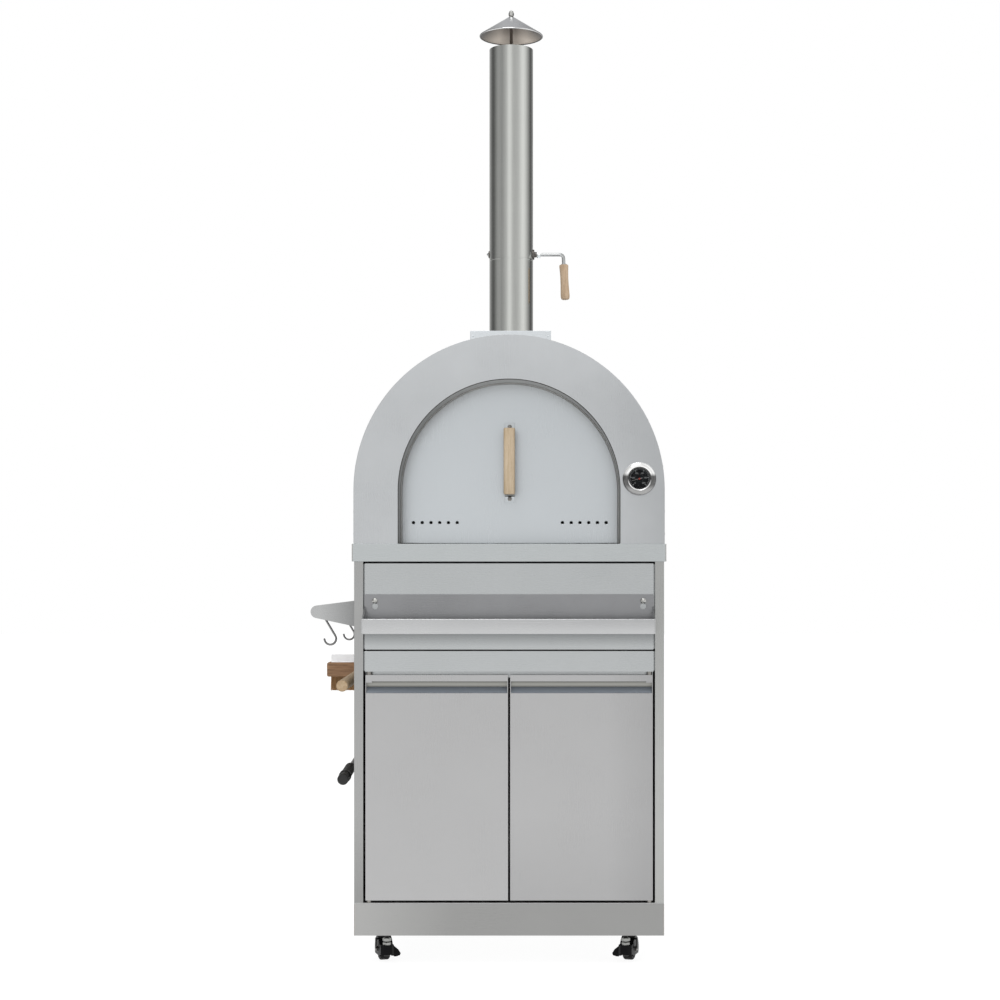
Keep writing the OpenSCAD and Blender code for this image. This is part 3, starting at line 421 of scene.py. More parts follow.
class Form:
    """A mesh under construction. Shapes go where place() last said."""

    def __init__(self, at=(0, 0, 0), axis="Z", spin=0.0, within=None):
        self.bm = bmesh.new()
        self.frame = within or Matrix.Identity(4)
        self.place(at, axis, spin)

    def place(self, at=(0, 0, 0), axis="Z", spin=0.0):
        """The next shapes' own Z axis runs along axis from at, turned by spin degrees."""
        twist = Matrix.Rotation(math.radians(spin), 4, "Z")
        self.at = self.frame @ Matrix.Translation(at) @ AXES[axis] @ twist
        return self

    def vert(self, point):
        point = Vector(point)
        return self.bm.verts.new(self.at @ (point if len(point) == 3 else point.to_3d()))

    def loft(self, rings, closed=True, ends=(True, True)):
        """Skins equal rings of points one after the other."""
        layers = [[self.vert(p) for p in ring] for ring in rings]
        n = len(layers[0])
        for low, high in zip(layers, layers[1:]):
            for i in range(n if closed else n - 1):
                j = (i + 1) % n
                self.bm.faces.new((low[i], low[j], high[j], high[i]))
        if closed and ends[0]:
            self.bm.faces.new(layers[0][::-1])
        if closed and ends[1]:
            self.bm.faces.new(layers[-1])
        return self

    def walls(self, rings):
        """Skin with open ends."""
        return self.loft(rings, ends=(False, False))

    def lathe(self, profile, steps):
        """Turns a profile of (radius, height) points about the Z axis."""
        rings = [circle(r, z, steps) for r, z in profile]
        return self.loft(rings, ends=(profile[0][0] > 0, profile[-1][0] > 0))

    def hoop(self, section, steps=96):
        """Turns a closed section of (radius, height) points about the Z axis."""
        return self.walls([circle(r, z, steps) for r, z in section + section[:1]])

    def prism(self, outline, low, high):
        return self.loft([[(p[0], p[1], z) for p in outline] for z in (low, high)])

    def block(self, a, b):
        outline = [(a[0], a[1]), (b[0], a[1]), (b[0], b[1]), (a[0], b[1])]
        return self.prism(outline, a[2], b[2])

    def soft_block(self, x, y, radius, steps, low, high, edge):
        """Block with rounded corners, whose edge at both ends is (inset, depth) points."""
        layers = [(inset, low + depth) for inset, depth in edge]
        layers += [(inset, high - depth) for inset, depth in reversed(edge)]
        return self.loft([[(p.x * (1 - inset / x), p.y * (1 - inset / y), z)
                           for p in rectangle(x, y, radius, steps)] for inset, z in layers])

    def fill(self, *loops):
        """Flat faces inside the first loop and outside the others."""
        edges = []
        for loop in loops:
            verts = [self.vert(p) for p in loop]
            edges += [self.bm.edges.new(pair) for pair in zip(verts, verts[1:] + verts[:1])]
        bmesh.ops.triangle_fill(self.bm, use_beauty=True, edges=edges)
        return self

    def plate(self, outline, holes, low, high):
        """Flat plate with holes, between two heights."""
        loops = [[[(p[0], p[1], z) for p in loop] for z in (low, high)]
                 for loop in [outline] + holes]
        for side in zip(*loops):
            self.fill(*side)
        for rings in loops:
            self.walls(rings)
        return self

    def nut(self, flats, low, high):
        """Hexagon with the curved chamfers of a turned nut or bolt head."""
        steps, inner = 36, flats * 0.485
        rings = [[], [], [], []]
        for a in [turn(i, steps) for i in range(steps)]:
            reach = flats / 2 / math.cos((a % (math.pi / 3)) - math.pi / 6)
            drop = (reach - inner) * 0.5
            places = ((inner, low), (reach, low + drop), (reach, high - drop), (inner, high))
            for ring, (r, z) in zip(rings, places):
                ring.append((r * math.cos(a), r * math.sin(a), z))
        return self.loft(rings)

    def dome(self, radius, height, steps=20):
        """Round screw or rivet head on a low rim."""
        rim = 0.4
        curve = bow((0, rim), radius, height - rim, range(0, 90, 18))
        return self.lathe([(radius, 0)] + curve + [(0, height)], steps)

    def domes(self, places, axis, radius, height, steps=20):
        for at in places:
            self.place(at, axis).dome(radius, height, steps)
        return self

    def screw(self, radius, height):
        """Pan head with a hexagon socket."""
        rim, socket = 0.3, radius * 0.38
        curve = bow((0, rim), radius, height - rim, range(0, 75, 15))
        return self.lathe([(radius, 0)] + curve + [(socket, height * 0.97),
                          (socket * 0.9, height * 0.45), (0, height * 0.4)], 24)

    def thread(self, radius, low, high, pitch):
        """Rod with a screw thread's ridges."""
        profile = [(radius - 0.5, low)]
        for i in range(int((high - low) / pitch)):
            z = low + (i + 0.5) * pitch
            profile += [(radius - 0.45, z - pitch * 0.3), (radius, z)]
        return self.lathe(profile + [(radius - 0.5, high)], 20)

    def tube(self, path, radius, sides):
        """Round bar along a path, with rounded tips."""
        path = [Vector(p) for p in path]
        last = len(path) - 1
        side = (path[1] - path[0]).orthogonal().normalized()
        rings = []

        def ring(point, way, angle):
            """Ring round the point, or round the tip beyond it when the angle isn't 0."""
            a = math.radians(angle)
            centre, r = point + way * radius * math.sin(a), radius * math.cos(a)
            across = way.cross(side)
            rings.append([centre + (side * math.cos(turn(k, sides))
                                    + across * math.sin(turn(k, sides))) * r
                          for k in range(sides)])

        for i, point in enumerate(path):
            way = (path[min(i + 1, last)] - path[max(i - 1, 0)]).normalized()
            side = (side - way * side.dot(way)).normalized()
            tips = {0: (-80, -60, -35, 0), last: (0, 35, 60, 80)}
            for angle in tips.get(i, (0,)):
                ring(point, way, angle)
        return self.loft(rings)


# ---- Making pieces ----


def shade(mesh, angle=32):
    """Smooth shading that breaks at edges sharper than angle."""
    mesh.polygons.foreach_set("use_smooth", [True] * len(mesh.polygons))
    mesh.set_sharp_from_angle(angle=math.radians(angle))


def add(name, data, location=(0, 0, 0), rotation=(0, 0, 0)):
    """Puts a new object in the scene."""
    new = bpy.data.objects.new(name, data)
    new.location, new.rotation_euler = location, rotation
    bpy.context.scene.collection.objects.link(new)
    return new


def made(name, form, material="zinc", body="oven", slot="zinc", replaces=(), bevel=0,
         inside=None):
    """Turns a form into a piece that rides on a body. Faces for which inside(face) holds get
    the second of two materials."""
    bm = form.bm
    bmesh.ops.remove_doubles(bm, verts=bm.verts, dist=0.0005)
    bmesh.ops.recalc_face_normals(bm, faces=bm.faces)
    if inside:
        for face in bm.faces:
            face.material_index = 1 if inside(face) else 0
    bmesh.ops.scale(bm, vec=(MM, MM, MM), verts=bm.verts)
    mesh = bpy.data.meshes.new(name)
    bm.to_mesh(mesh)
    bm.free()
    shade(mesh)
    for one in material if isinstance(material, tuple) else (material,):
        mesh.materials.append(M[one])
    piece = add(name, mesh)
    if bevel:
        add_bevel(piece, bevel * MM)
    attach(piece, body)
    if replaces:
        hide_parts(*replaces)
    return piece


def add_bevel(piece, width, angle=40):
    soft = piece.modifiers.new("edges", "BEVEL")
    soft.width = width
    soft.segments = 2
    soft.limit_method = "ANGLE"
    soft.angle_limit = math.radians(angle)
    soft.harden_normals = True


def dress(node, material, bevel):
    """Gives a CAD node its material and rolled edges."""
    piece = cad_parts[node]
    piece.data.materials.clear()
    piece.data.materials.append(M[material])
    if "custom_normal" in piece.data.attributes:
        piece.data.attributes.remove(piece.data.attributes["custom_normal"])
    piece.modifiers.new("weld", "WELD").merge_threshold = 0.00001
    shade(piece.data)
    add_bevel(piece, bevel * MM)


def spot(node):
    """Lowest and highest corners of a CAD node in millimetres."""
    low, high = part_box(node)
    return Vector(low) / MM, Vector(high) / MM


# ---- Camera, lights and floor ----


def camera():
    """Standing in front of the cabinet and slightly to its right."""
    eye = bpy.data.cameras.new("camera")
    eye.lens = 71.1
    eye.sensor_width = 36
    eye.shift_x = -0.045
    eye.shift_y = 0.087
    bpy.context.scene.camera = add("camera", eye, (0.079, -4.625, 0.833), (math.pi / 2, 0, 0))


# Softboxes round the studio: bearing in degrees from behind the camera to its right, half
# width and strength; dark screens have a negative strength.
STUDIO = [(-8, 13, 0.42), (66, 22, 0.46), (-50, 16, -0.20), (-110, 34, -0.50),
          (126, 26, -0.50), (180, 24, -0.15)]
STUDIO_LEVEL = 0.62


def studio():
    """White room for diffuse light, and softboxes and screens that show in the steel."""
    world = bpy.data.worlds.new("studio")
    world.use_nodes = True
    bpy.context.scene.world = world
    room = Nodes(world.node_tree)
    room.tree.nodes.clear()
    place = room.node("TexCoord").outputs["Generated"]
    x, y, _ = room.node("SeparateXYZ", {0: place}).outputs
    bearing = room.math("ARCTAN2", x, room.math("MULTIPLY", y, -1.0))
    level = STUDIO_LEVEL
    for centre, half, strength in STUDIO:
        off = room.math("SUBTRACT", bearing, math.radians(centre))
        near = room.math("ABSOLUTE", room.math("WRAP", off, math.pi, -math.pi))
        edge = room.math("DIVIDE", near, math.radians(half))
        bell = room.math("EXPONENT", room.math("MULTIPLY", room.math("POWER", edge, 2.0), -1.0))
        level = room.math("ADD", room.math("MULTIPLY", bell, strength), level)
    gray = room.node("CombineColor", {0: level, 1: level, 2: level}).outputs[0]
    inputs = {0: room.node("LightPath").outputs["Is Glossy Ray"]}
    for i, color in enumerate(((1, 1, 1, 1), gray), 1):
        inputs[i] = room.node("Background", {0: color, 1: 1.0}).outputs[0]
    mix = room.node("MixShader", inputs).outputs[0]
    room.node("OutputWorld", {0: mix})


def area_light(name, place, target, size, power):
    lamp = bpy.data.lights.new(name, "AREA")
    lamp.shape = "RECTANGLE"
    lamp.size, lamp.size_y = size
    lamp.energy = power
    way = Vector(target) - Vector(place)
    add(name, lamp, place, way.to_track_quat("-Z", "Y").to_euler())


def floor():
    """Plain pale floor."""
    bm = bmesh.new()
    bmesh.ops.create_grid(bm, x_segments=8, y_segments=8, size=30)
    mesh = bpy.data.meshes.new("floor")
    bm.to_mesh(mesh)
    bm.free()
    pale = (0.15, 0.15, 0.15)
    surface = Shader("floor", pale, 0.9)
    dust = surface.noise((2, 2, 2), detail=4)
    surface.paint(pale, surface.spread(dust, 0.99, 1.01))
    surface.set("Emission Color", (1, 1, 1, 1))
    surface.set("Emission Strength", 0.92)
    mesh.materials.append(surface.material)
    add("floor", mesh, (0, 0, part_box("caster_wheel_fl")[0].z - 0.0005))


bpy.context.scene.view_settings.view_transform = "Standard"
camera()
studio()
area_light("key", (-0.6, -2.5, 5.5), (0, 0, 0.9), (2.5, 2.5), 60)
floor()

# ---- Sizes that the pieces share, in millimetres ----

FRONT, BACK, HALF_W = -280.0, 280.0, 341.0
ARCH_Z, ARCH_R, MOUTH_R = 1046.4, 342.5, 244.4
HEARTH = spot("oven_facade")[0].z
DOOR_Y, DOOR_R = spot("oven_door_panel")[0].y, spot("oven_door_panel")[1].x
FLUE_R, FLUE_TOP, SEAM_Z = 51.0, spot("flue_pipe_upper")[1].z, spot("flue_pipe_lower")[1].z


def arch(radius, foot, steps=72):
    """Outline of an arch from its left foot over the top to its right foot."""
    curve = arc((0, ARCH_Z), radius, 180, 0, steps)
    return [(-radius, foot)] + curve + [(radius, foot)]


# ---- Oven door ----


def oven_door():
    foot, rear, sheet, hole_r = HEARTH + 2.4, 38.0, 1.5, 3.25
    holes = [(s * (118.3 + 19.7 * i), 977.6) for s in (-1, 1) for i in range(6)]
    form = Form((0, DOOR_Y, 0), "-Y")

    def rim(k, depth):
        return [(x, z, -depth) for x, z in arch(DOOR_R - k, foot + k)]

    def punched(r, depth):
        return [circle(hole_r + r, -depth, 20, centre) for centre in holes]

    # The flat rings keep the shading of the face apart from that of its rounded edges.
    form.walls([rim(0, rear), rim(0, 1.6), rim(0.25, 0.8), rim(0.8, 0.25), rim(1.6, 0),
                rim(2.4, 0)])
    form.fill(rim(2.4, 0), *punched(1.8, 0))
    form.fill(rim(4.6, sheet), *punched(1.3, sheet))
    form.walls([rim(4.6, sheet), rim(sheet, 5), rim(sheet, rear), rim(0, rear)])
    walls = [(1.8, 0), (1.3, 0), (0.6, 0.25), (0, 0.9), (0, sheet + 1), (0.8, sheet + 1),
             (1.3, sheet)]
    for rings in zip(*[punched(r, depth) for r, depth in walls]):
        form.walls(rings)
    made("oven_door_pressing", form, "oven_door", "oven_door", "stainless_door",
         ["oven_door_panel"])

    # The seal's near-white steel is painted light, so the gap round the door shows no shade.
    form = Form((0, DOOR_Y + 1.2, 0), "Y")
    outer, inner = arch(DOOR_R - 0.4, foot + 2), arch(MOUTH_R - 0.35, foot + 2)
    form.prism([(-x, z) for x, z in outer + inner[::-1]], 0, 5)
    made("oven_door_seal", form, "seal", "oven_door", "stainless_dark")

    low, high = spot("oven_door_handle")
    form = Form((0, (low.y + high.y) / 2, 0))
    form.soft_block(high.x, (high.y - low.y) / 2, 7, 6, low.z, high.z,
                    [(2.2, 0), (0.8, 0.6), (0, 2.4)])
    made("oven_door_grip", form, "handle_wood", "oven_door", "handle_wood",
         ["oven_door_handle"])

    near, out, top, bottom = DOOR_Y - 1.5, high.y + 1.5, high.z - 0.5, low.z + 0.5
    path = rounded([(near, top + 16.5), (near, top), (out, top), (out, bottom), (near, bottom),
                    (near, bottom - 16.5)], 5)
    made("oven_door_strap", Form((-11, 0, 0), "X").prism(ribbon(path, 3), 0, 22),
         ("oven_door", "dark_zinc"), "oven_door", "zinc", ["oven_door_bracket"], 0.5,
         inside=lambda face: face.calc_center_median().y < DOOR_Y - 3.2)
    form = Form()
    for z in (bottom - 8, top + 8):
        form.place((0, DOOR_Y - 3, z), "-Y").nut(9, 0, 4.2)
        form.lathe([(2.8, 4.1), (2.8, 5.4), (2.2, 6), (0, 6)], 20)
    made("oven_door_bolts", form, "dark_zinc", "oven_door")
    places = [(0, out + 1.5, z) for z in (low.z + 30, high.z - 30)]
    made("oven_door_handle_screws", Form().domes(places, "Y", 5, 2.6), body="oven_door")


# ---- Cabinet doors ----


def cabinet_doors():
    for side, sign in (("left", -1), ("right", 1)):
        body = side + "_door"
        low, high = spot("cabinet_door_" + side)
        middle, middle_z, width = (low.x + high.x) / 2, 380.0, high.x - low.x
        hat = rounded([(-1.6, -42), (-1.6, -26), (-11, -20), (-11, 20), (-1.6, 26), (-1.6, 42)],
                      3)
        form = Form((low.x + 14, high.y, middle_z), "X")
        form.prism(ribbon(hat, 1.2), 0, width - 28)
        made(body + "_stiffener", form, "panel", body, "stainless", bevel=0.3)
        places = [(x, high.y - 1, middle_z + h) for h in (-34, 34)
                  for x in (low.x + 24, middle, high.x - 24)]
        made(body + "_rivets", Form().domes(places, "Y", 3, 1.0), body=body)
        # Thin sheets on each pull's recess carry the painted shadow of the back and the painted
        # reflection of the slope.
        for part, path in (("back", [(-264.3, 612.8), (-264.3, 637.4)]),
                           ("slope", [(-279.2, 600.3), (-264.4, 612.6)])):
            form = Form((low.x + 1.7, 0, 0), "X").prism(ribbon(path, 0.4), 0, width - 3.4)
            made(body + "_pull_" + part, form, "pull_" + part, body, "stainless")
        edge = sign * 25
        form = Form((edge - 15, high.y - 1.4, 0), "X")
        form.prism(ribbon([(0, 606), (0, 617)], 0.8), 0, 30)
        form.domes([(edge + x, high.y - 1.0, 611.5) for x in (-9, 9)], "Y", 2.2, 0.6)
        made(body + "_strike", form, body=body)


# ---- Hanging tray ----


def hanging_tray():
    low, high = spot("hanging_tray")
    half, depth, sheet, key_x, key_z = high.x, high.y - low.y, 1.5, 295.0, 802.5
    lip, side, t = 764 - low.z, 791 - low.z, sheet / 2
    path = rounded([(6, lip - 9), (6, lip - t), (t, lip - t), (t, t), (depth - t, t),
                    (depth - t, 20)], 1.3)
    form = Form((-half + sheet, low.y, low.z), "X")
    form.prism(ribbon(path, sheet), 0, 2 * half - 2 * sheet)
    wall = [(0, 0), (0, lip), (depth - sheet, side), (depth - sheet, 0)]
    tab = [(7, lip - 5), (depth - 3, side - 8), (depth - 3, side - 1), (7, lip + 1.4)]
    for s in (-1, 1):
        form.place((s * (half - t) - t, low.y, low.z), "X").prism(wall, 0, sheet)
        form.place((s * (half - 2.4) - 0.6, low.y, low.z), "X").prism(tab, 0, 1.2)
    made("hanging_tray_pan", form, "tray", "tray", "stainless_tray", ["hanging_tray"], 0.4)

    holes = [arc((s * key_x, key_z), 2.75, 0, 180)
             + arc((s * key_x, key_z - 12), 7, 180 - 66.9, 360 + 66.9, 18) for s in (-1, 1)]
    outline = rounded([(-half, low.z + 19), (-half, high.z), (half, high.z),
                       (half, low.z + 19)], 3, closed=True)
    form = Form((0, high.y, 0), "-Y").plate(outline, holes, 0, sheet)
    made("hanging_tray_back", form, "tray_back", "tray", "stainless_tray", bevel=0.25)

    heads, shanks = Form(), Form()
    for x in (-key_x, key_x):
        heads.place((x, high.y - 2, key_z), "-Y", 15).screw(6.5, 4)
        shanks.place((x, high.y + 0.3, key_z), "-Y").lathe([(6, 0), (6, -1.7)], 32)
        shanks.lathe([(2.5, 2.5), (2.5, -10)], 20)
        shanks.place((x, FRONT + 1.5, key_z), "Y").nut(8, 0, 4)
    made("tray_screw_heads", heads, replaces=["tray_screws"])
    made("tray_screw_shanks", shanks)


# ---- Flue, cap and damper ----


def flue():
    form = Form().hoop(oval((FLUE_R - 1.2, FLUE_TOP - 1), 1.1, 1.2))
    form.hoop([(FLUE_R + r, SEAM_Z + h) for r, h in ((-0.3, -2.2), (0.25, -1.6), (0.3, 1.2),
                                                     (-0.3, 1.8))])
    made("flue_beads", form, "flue", "oven", "flue_steel")
    low, high = spot("flue_collar")
    foot = high.z
    form = Form()
    for start, end in ((foot + 2, SEAM_Z - 3), (SEAM_Z + 3, FLUE_TOP - 3)):
        rings = []
        count = int((end - start) / 6)
        for i in range(count + 1):
            width = 1.5 + 0.25 * math.sin(i * 2.1)
            rings.append([(x * width, FLUE_R - 0.35 + h, start + (end - start) * i / count)
                          for x, h in ((-1, 0), (-0.6, 0.55), (0.6, 0.55), (1, 0))])
        form.loft(rings)
    made("flue_welds", form, "weld", "oven", "flue_steel")
    form = Form().hoop([(FLUE_R + r, foot + h) for r, h in (
        (-0.2, -0.2), (5, -0.2), (3.6, 0.7), (1.2, 1.9), (0.3, 3.6), (-0.2, 3.6))])
    made("flue_foot_weld", form, "weld", "oven", "flue_steel")
    places = [(0, FLUE_R - 0.2, SEAM_Z + h) for h in (-13, 11)]
    made("flue_rivets", Form().domes(places, "Y", 2.6, 1.5))
    form = Form()
    for x in (6.5 - high.x, high.x - 6.5):
        for y, way in ((low.y, "-Y"), (high.y, "Y")):
            form.place((x, y, foot), way).block((-5.5, -38, -0.4), (5.5, -1.6, 0.7))
            form.place((x, y + math.copysign(0.7, y), foot - 12), way).dome(1.9, 1.1)
    made("flue_collar_tabs", form, "collar", "oven", "stainless", bevel=0.2)


def rain_cap():
    low, high = spot("rain_cap")
    rim_r, rim_z, apex = high.x, low.z + 1.0, high.z + 4.0
    slope, thick, shaft_r = (apex - rim_z) / rim_r, 1.3, 4.4

    def slant(r, lift):
        return r, apex - r * slope + lift

    profile = [slant(shaft_r, 0), slant(rim_r - 3, 0), (rim_r - 1.2, rim_z + 0.8),
               (rim_r - 0.1, rim_z - 0.4), (rim_r - 0.6, rim_z - 1.5), (rim_r - 1.9, rim_z - 1.9),
               slant(rim_r - 3.2, -thick - 0.6 - 0.2 * slope), slant(rim_r - 6, -thick - 0.1),
               slant(shaft_r, -thick)]
    # The underside gets cap_inside, whose tones are a painted reflection and painted shade.
    made("rain_cap_cone", Form().hoop(profile), ("cap", "cap_inside"), "oven", "stainless",
         ["rain_cap"], inside=lambda face: face.normal.z < -0.2
         and face.calc_center_median().xy.length < rim_r - 1)
    made("rain_cap_hem", Form().hoop(oval((rim_r - 1.2, rim_z - 1.1), 1.4, 1.5)), "cap_rim",
         "oven", "stainless")
    form = Form().loft([[(x, *slant(r, lift)) for x, lift in ((-4.5, -0.4), (-4.2, 0.7),
                                                             (3.8, 0.7), (4.2, -0.4))]
                        for r in (9, 70)])
    for r in (16, 36, 60):
        form.frame = Matrix.Translation((0, *slant(r, 0.6))) \
            @ Matrix.Rotation(-math.atan(slope), 4, "X")
        form.place().dome(2.0, 1.1)
    made("rain_cap_seam", form, "cap", "oven", "stainless")

    low, high = spot("cap_support")
    bar_z = low.z + 8
    made("cap_rod", Form().thread(4, low.z, apex + 6, 1.6), "cap_rod", replaces=["cap_support"])
    form = Form((0, 0, bar_z)).nut(12, 3.2, 8.2).nut(12, -6.2, -0.2)
    form.place((0, 0, apex)).nut(12, -13.5, -7.5).nut(11, -0.6, 6.2)
    form.lathe([(4.2, -1.6), (5.6, -2.2), (5.6, -1.2), (4.6, -0.4)], 36)
    form.lathe([(5.0, 5.8)] + bow((0, 7.4), 5.2, 4.2, range(0, 90, 15)) + [(0, 11.7)], 28)
    made("cap_nuts", form)
    reach = FLUE_R - 2.2
    path = rounded([(-reach, 18), (-reach, 1.5), (reach, 1.5), (reach, 18)], 4)
    made("cap_bar", Form((0, -7, bar_z), "Y").prism(ribbon(path, 2.4), 0, 14), "inner",
         "oven", "stainless_dark", bevel=0.4)


def damper():
    z = 1611.0
    form = Form((FLUE_R - 3, 0, z), "X")
    form.lathe([(4.1, 0), (11.2, 0), (11.8, 1.2), (11.8, 4.8), (11.2, 6.0), (6.4, 6.4),
                (6.2, 11.6), (4.1, 11.8)], 40)
    form.place((-FLUE_R + 3, 0, z), "-X")
    form.lathe([(4.1, 0), (8.3, 0), (8.3, 4.0), (7.6, 5.0), (5.5, 5.4), (4.1, 5.4)], 40)
    made("damper_collars", form, "bush", "oven", "bush_metal", ["damper_bushes"])
    bend, crank_x, lean = 8.6, 113.6, 2.6
    leg = Matrix.Translation((crank_x, 0, z - bend)) \
        @ Matrix.Rotation(math.radians(-lean), 4, "Y") @ Matrix.Translation((bend, 0, 0))
    path = [(x, 0, z) for x in (-FLUE_R - 2.2, 0, FLUE_R + 16, crank_x - 4)]
    path += [(x, 0, h) for x, h in arc((crank_x, z - bend), bend, 90, lean, 12)]
    path += [leg @ Vector((0, 0, -h)) for h in (5, 20, 60, 76)]
    form = Form().tube(path, 4, 20)
    form.place((FLUE_R + 10.6, 0, z), "X", 8).nut(15.4, 0, 6.2)
    form.lathe([(7.2, -0.9), (7.6, -0.7), (7.6, 0), (4, 0)], 32)
    made("damper_rod", form, "rod", "damper", "zinc", ["damper_crank"])
    form = Form((0, 0, -15.4), "-Z", within=leg)
    form.lathe([(0, 0.2), (8.6, 0), (10.2, 0.8), (10.6, 2.4), (10.4, 7), (9.7, 18), (9.4, 32),
                (9.6, 48), (10.2, 62), (10.6, 72), (10.3, 77), (9.0, 80.4), (6.5, 81.8),
                (0, 82)], 40)
    made("damper_handle", form, "grip_wood", "damper", "grip_wood", ["damper_grip"])
    form = Form((0, 0, -15.4), within=leg)
    form.lathe([(4, -0.4), (6.6, -0.2), (6.6, 1.4), (5.2, 2.2), (4, 2.4)], 28)
    made("damper_ferrule", form, "rod", "damper")


# ---- Thermometer ----


def thermometer():
    low, high = spot("thermometer_lens")
    x, z, r = (low.x + high.x) / 2, (low.z + high.z) / 2, 36.85

    def dial_form(spin=0.0):
        return Form((x, FRONT, z), "-Y", spin)

    def on_dial(reach, angle):
        return Vector((reach * math.cos(angle), reach * math.sin(angle)))

    form = dial_form().hoop(
        [(6, 0), (r - 0.6, 0), (r, 0.5), (r, 2.6)] + bow((r - 8.6, 3), 8.6, 8, range(8, 100, 8))
        + [(26.2, 10.7), (24.8, 10.1), (23.9, 9.2), (23.6, 7.6), (25.4, 7.2), (25.4, 3), (6, 3)])
    form.lathe([(6, 1.5), (6, -12), (3, -12), (3, -158), (2, -160), (0, -160)], 28)
    form.place((x, FRONT + 1.5, z), "Y").nut(19, 0, 5)
    made("thermometer_bezel", form, "bezel", "oven", "bezel_chrome", ["thermometer_case"])
    # The rim's tone is painted light: bright at its foot, dark at its top.
    form = dial_form()
    form.hoop([(23.7, 9.6), (24.4, 10.4), (25.6, 10.9), (26.0, 10.8), (25.2, 9.8), (24.2, 9.0)])
    made("thermometer_rim", form, "bezel_lip", "oven", "bezel_chrome")

    form = dial_form().lathe([(25.4, 3.1), (25.4, 4.4), (25, 4.6), (0, 4.6)], 64)
    form.lathe([(0.75, 4.5), (0.75, 7), (0, 7)], 16)
    made("thermometer_face", form, "dial", "oven", "dial_black", ["thermometer_dial"])
    form = dial_form()
    for i in range(51):
        a = math.radians(225 - 270 * i / 50)
        inner, half = (17.2, 0.5) if i % 10 == 0 else (19.4, 0.22)
        side = on_dial(half, a + math.pi / 2)
        form.prism([on_dial(inner, a) - side, on_dial(21.6, a) - side, on_dial(21.6, a) + side,
                    on_dial(inner, a) + side], 4.6, 4.7)
    form.hoop([(22.2, 4.6), (22.6, 4.6), (22.6, 4.7), (22.2, 4.7)])
    for i in range(6):
        letters = bpy.data.curves.new("mark", "FONT")
        letters.body = str(100 * i)
        letters.size = 5.0
        letters.align_x = letters.align_y = "CENTER"
        holder = bpy.data.objects.new("mark", letters)
        mesh = bpy.data.meshes.new_from_object(holder)
        shift = on_dial(13.4, math.radians(225 - 54 * i))
        mesh.transform(form.at @ Matrix.Translation((*shift, 4.66)))
        form.bm.from_mesh(mesh)
        bpy.data.objects.remove(holder)
        bpy.data.curves.remove(letters)
        bpy.data.meshes.remove(mesh)
    made("thermometer_marks", form, "dial_mark", "oven", "dial_black")
    form = dial_form(195)
    form.prism([(-7, -1.1), (-2, -0.7), (17.5, -0.15), (17.5, 0.15), (-2, 0.7), (-7, 1.1)],
               5.3, 5.8)
    made("thermometer_pointer", form, "pointer", "needle", "needle_red", ["thermometer_needle"])
    form = dial_form().lathe([(0.9, 5.2), (2.0, 5.2), (2.0, 6.2), (1.6, 6.6), (0.9, 6.6)], 28)
    made("thermometer_hub", form, "needle", "needle", "needle_red")
    form = dial_form()
    form.lathe([(0, 8.2), (23.7, 8.2), (23.8, 8.8), (20, 9.2), (10, 9.5), (0, 9.6)], 64)
    made("thermometer_glass", form, "glass", "oven", "lens_glass", ["thermometer_lens"])


# ---- Tool rack, brush and rake ----


def tool_rack():
    low, high = spot("tool_rack")
    x, z = -HALF_W - 58, 774.5
    form = Form()
    places = [(y, h) for y in (low.y + 60, 0, high.y - 60) for h in (756, 792)]
    for y, h in places + [(low.y + 9, 774), (high.y - 9, 774)]:
        form.place((-HALF_W - 1.5, y, h), "-X", 20).screw(4, 2.2)
    made("rack_screws", form)
    form = Form().domes([(x, high.y - 0.2, z)], "Y", 5.4, 1.6, 28)
    for y, way in ((low.y + 1.5, "Y"), (high.y - 1.5, "-Y")):
        form.place((x, y, z), way)
        form.lathe([(5, -0.3), (7.4, -0.3), (6.9, 0.6), (5.6, 1.8), (5, 2.2)], 36)
    made("rack_rail_ends", form, "hook", "oven", "stainless")
    for name, y in (("front", -228.0), ("rear", 195.0)):
        wire, r, span = 2.3, 13.0, 51.0
        top_z = z + 5 + wire - r
        lean = math.degrees(math.asin(2 * r / span))
        loops = arc((x, top_z), r, 20, 180 + lean, 28) \
            + arc((x, top_z - span), r, lean, -175, 28)
        form = Form().tube([(px, y, pz) for px, pz in loops], wire, 14)
        made("hook_" + name, form, "hook", name + "_hook", "zinc", ["s_hook_" + name])


def tool_frame(out, y, z, slope):
    """Frame of a tool that hangs beside the cabinet, with its handle along Y."""
    return Matrix.Translation((-HALF_W - out, y, z)) @ Matrix.Rotation(math.radians(slope), 4, "X")


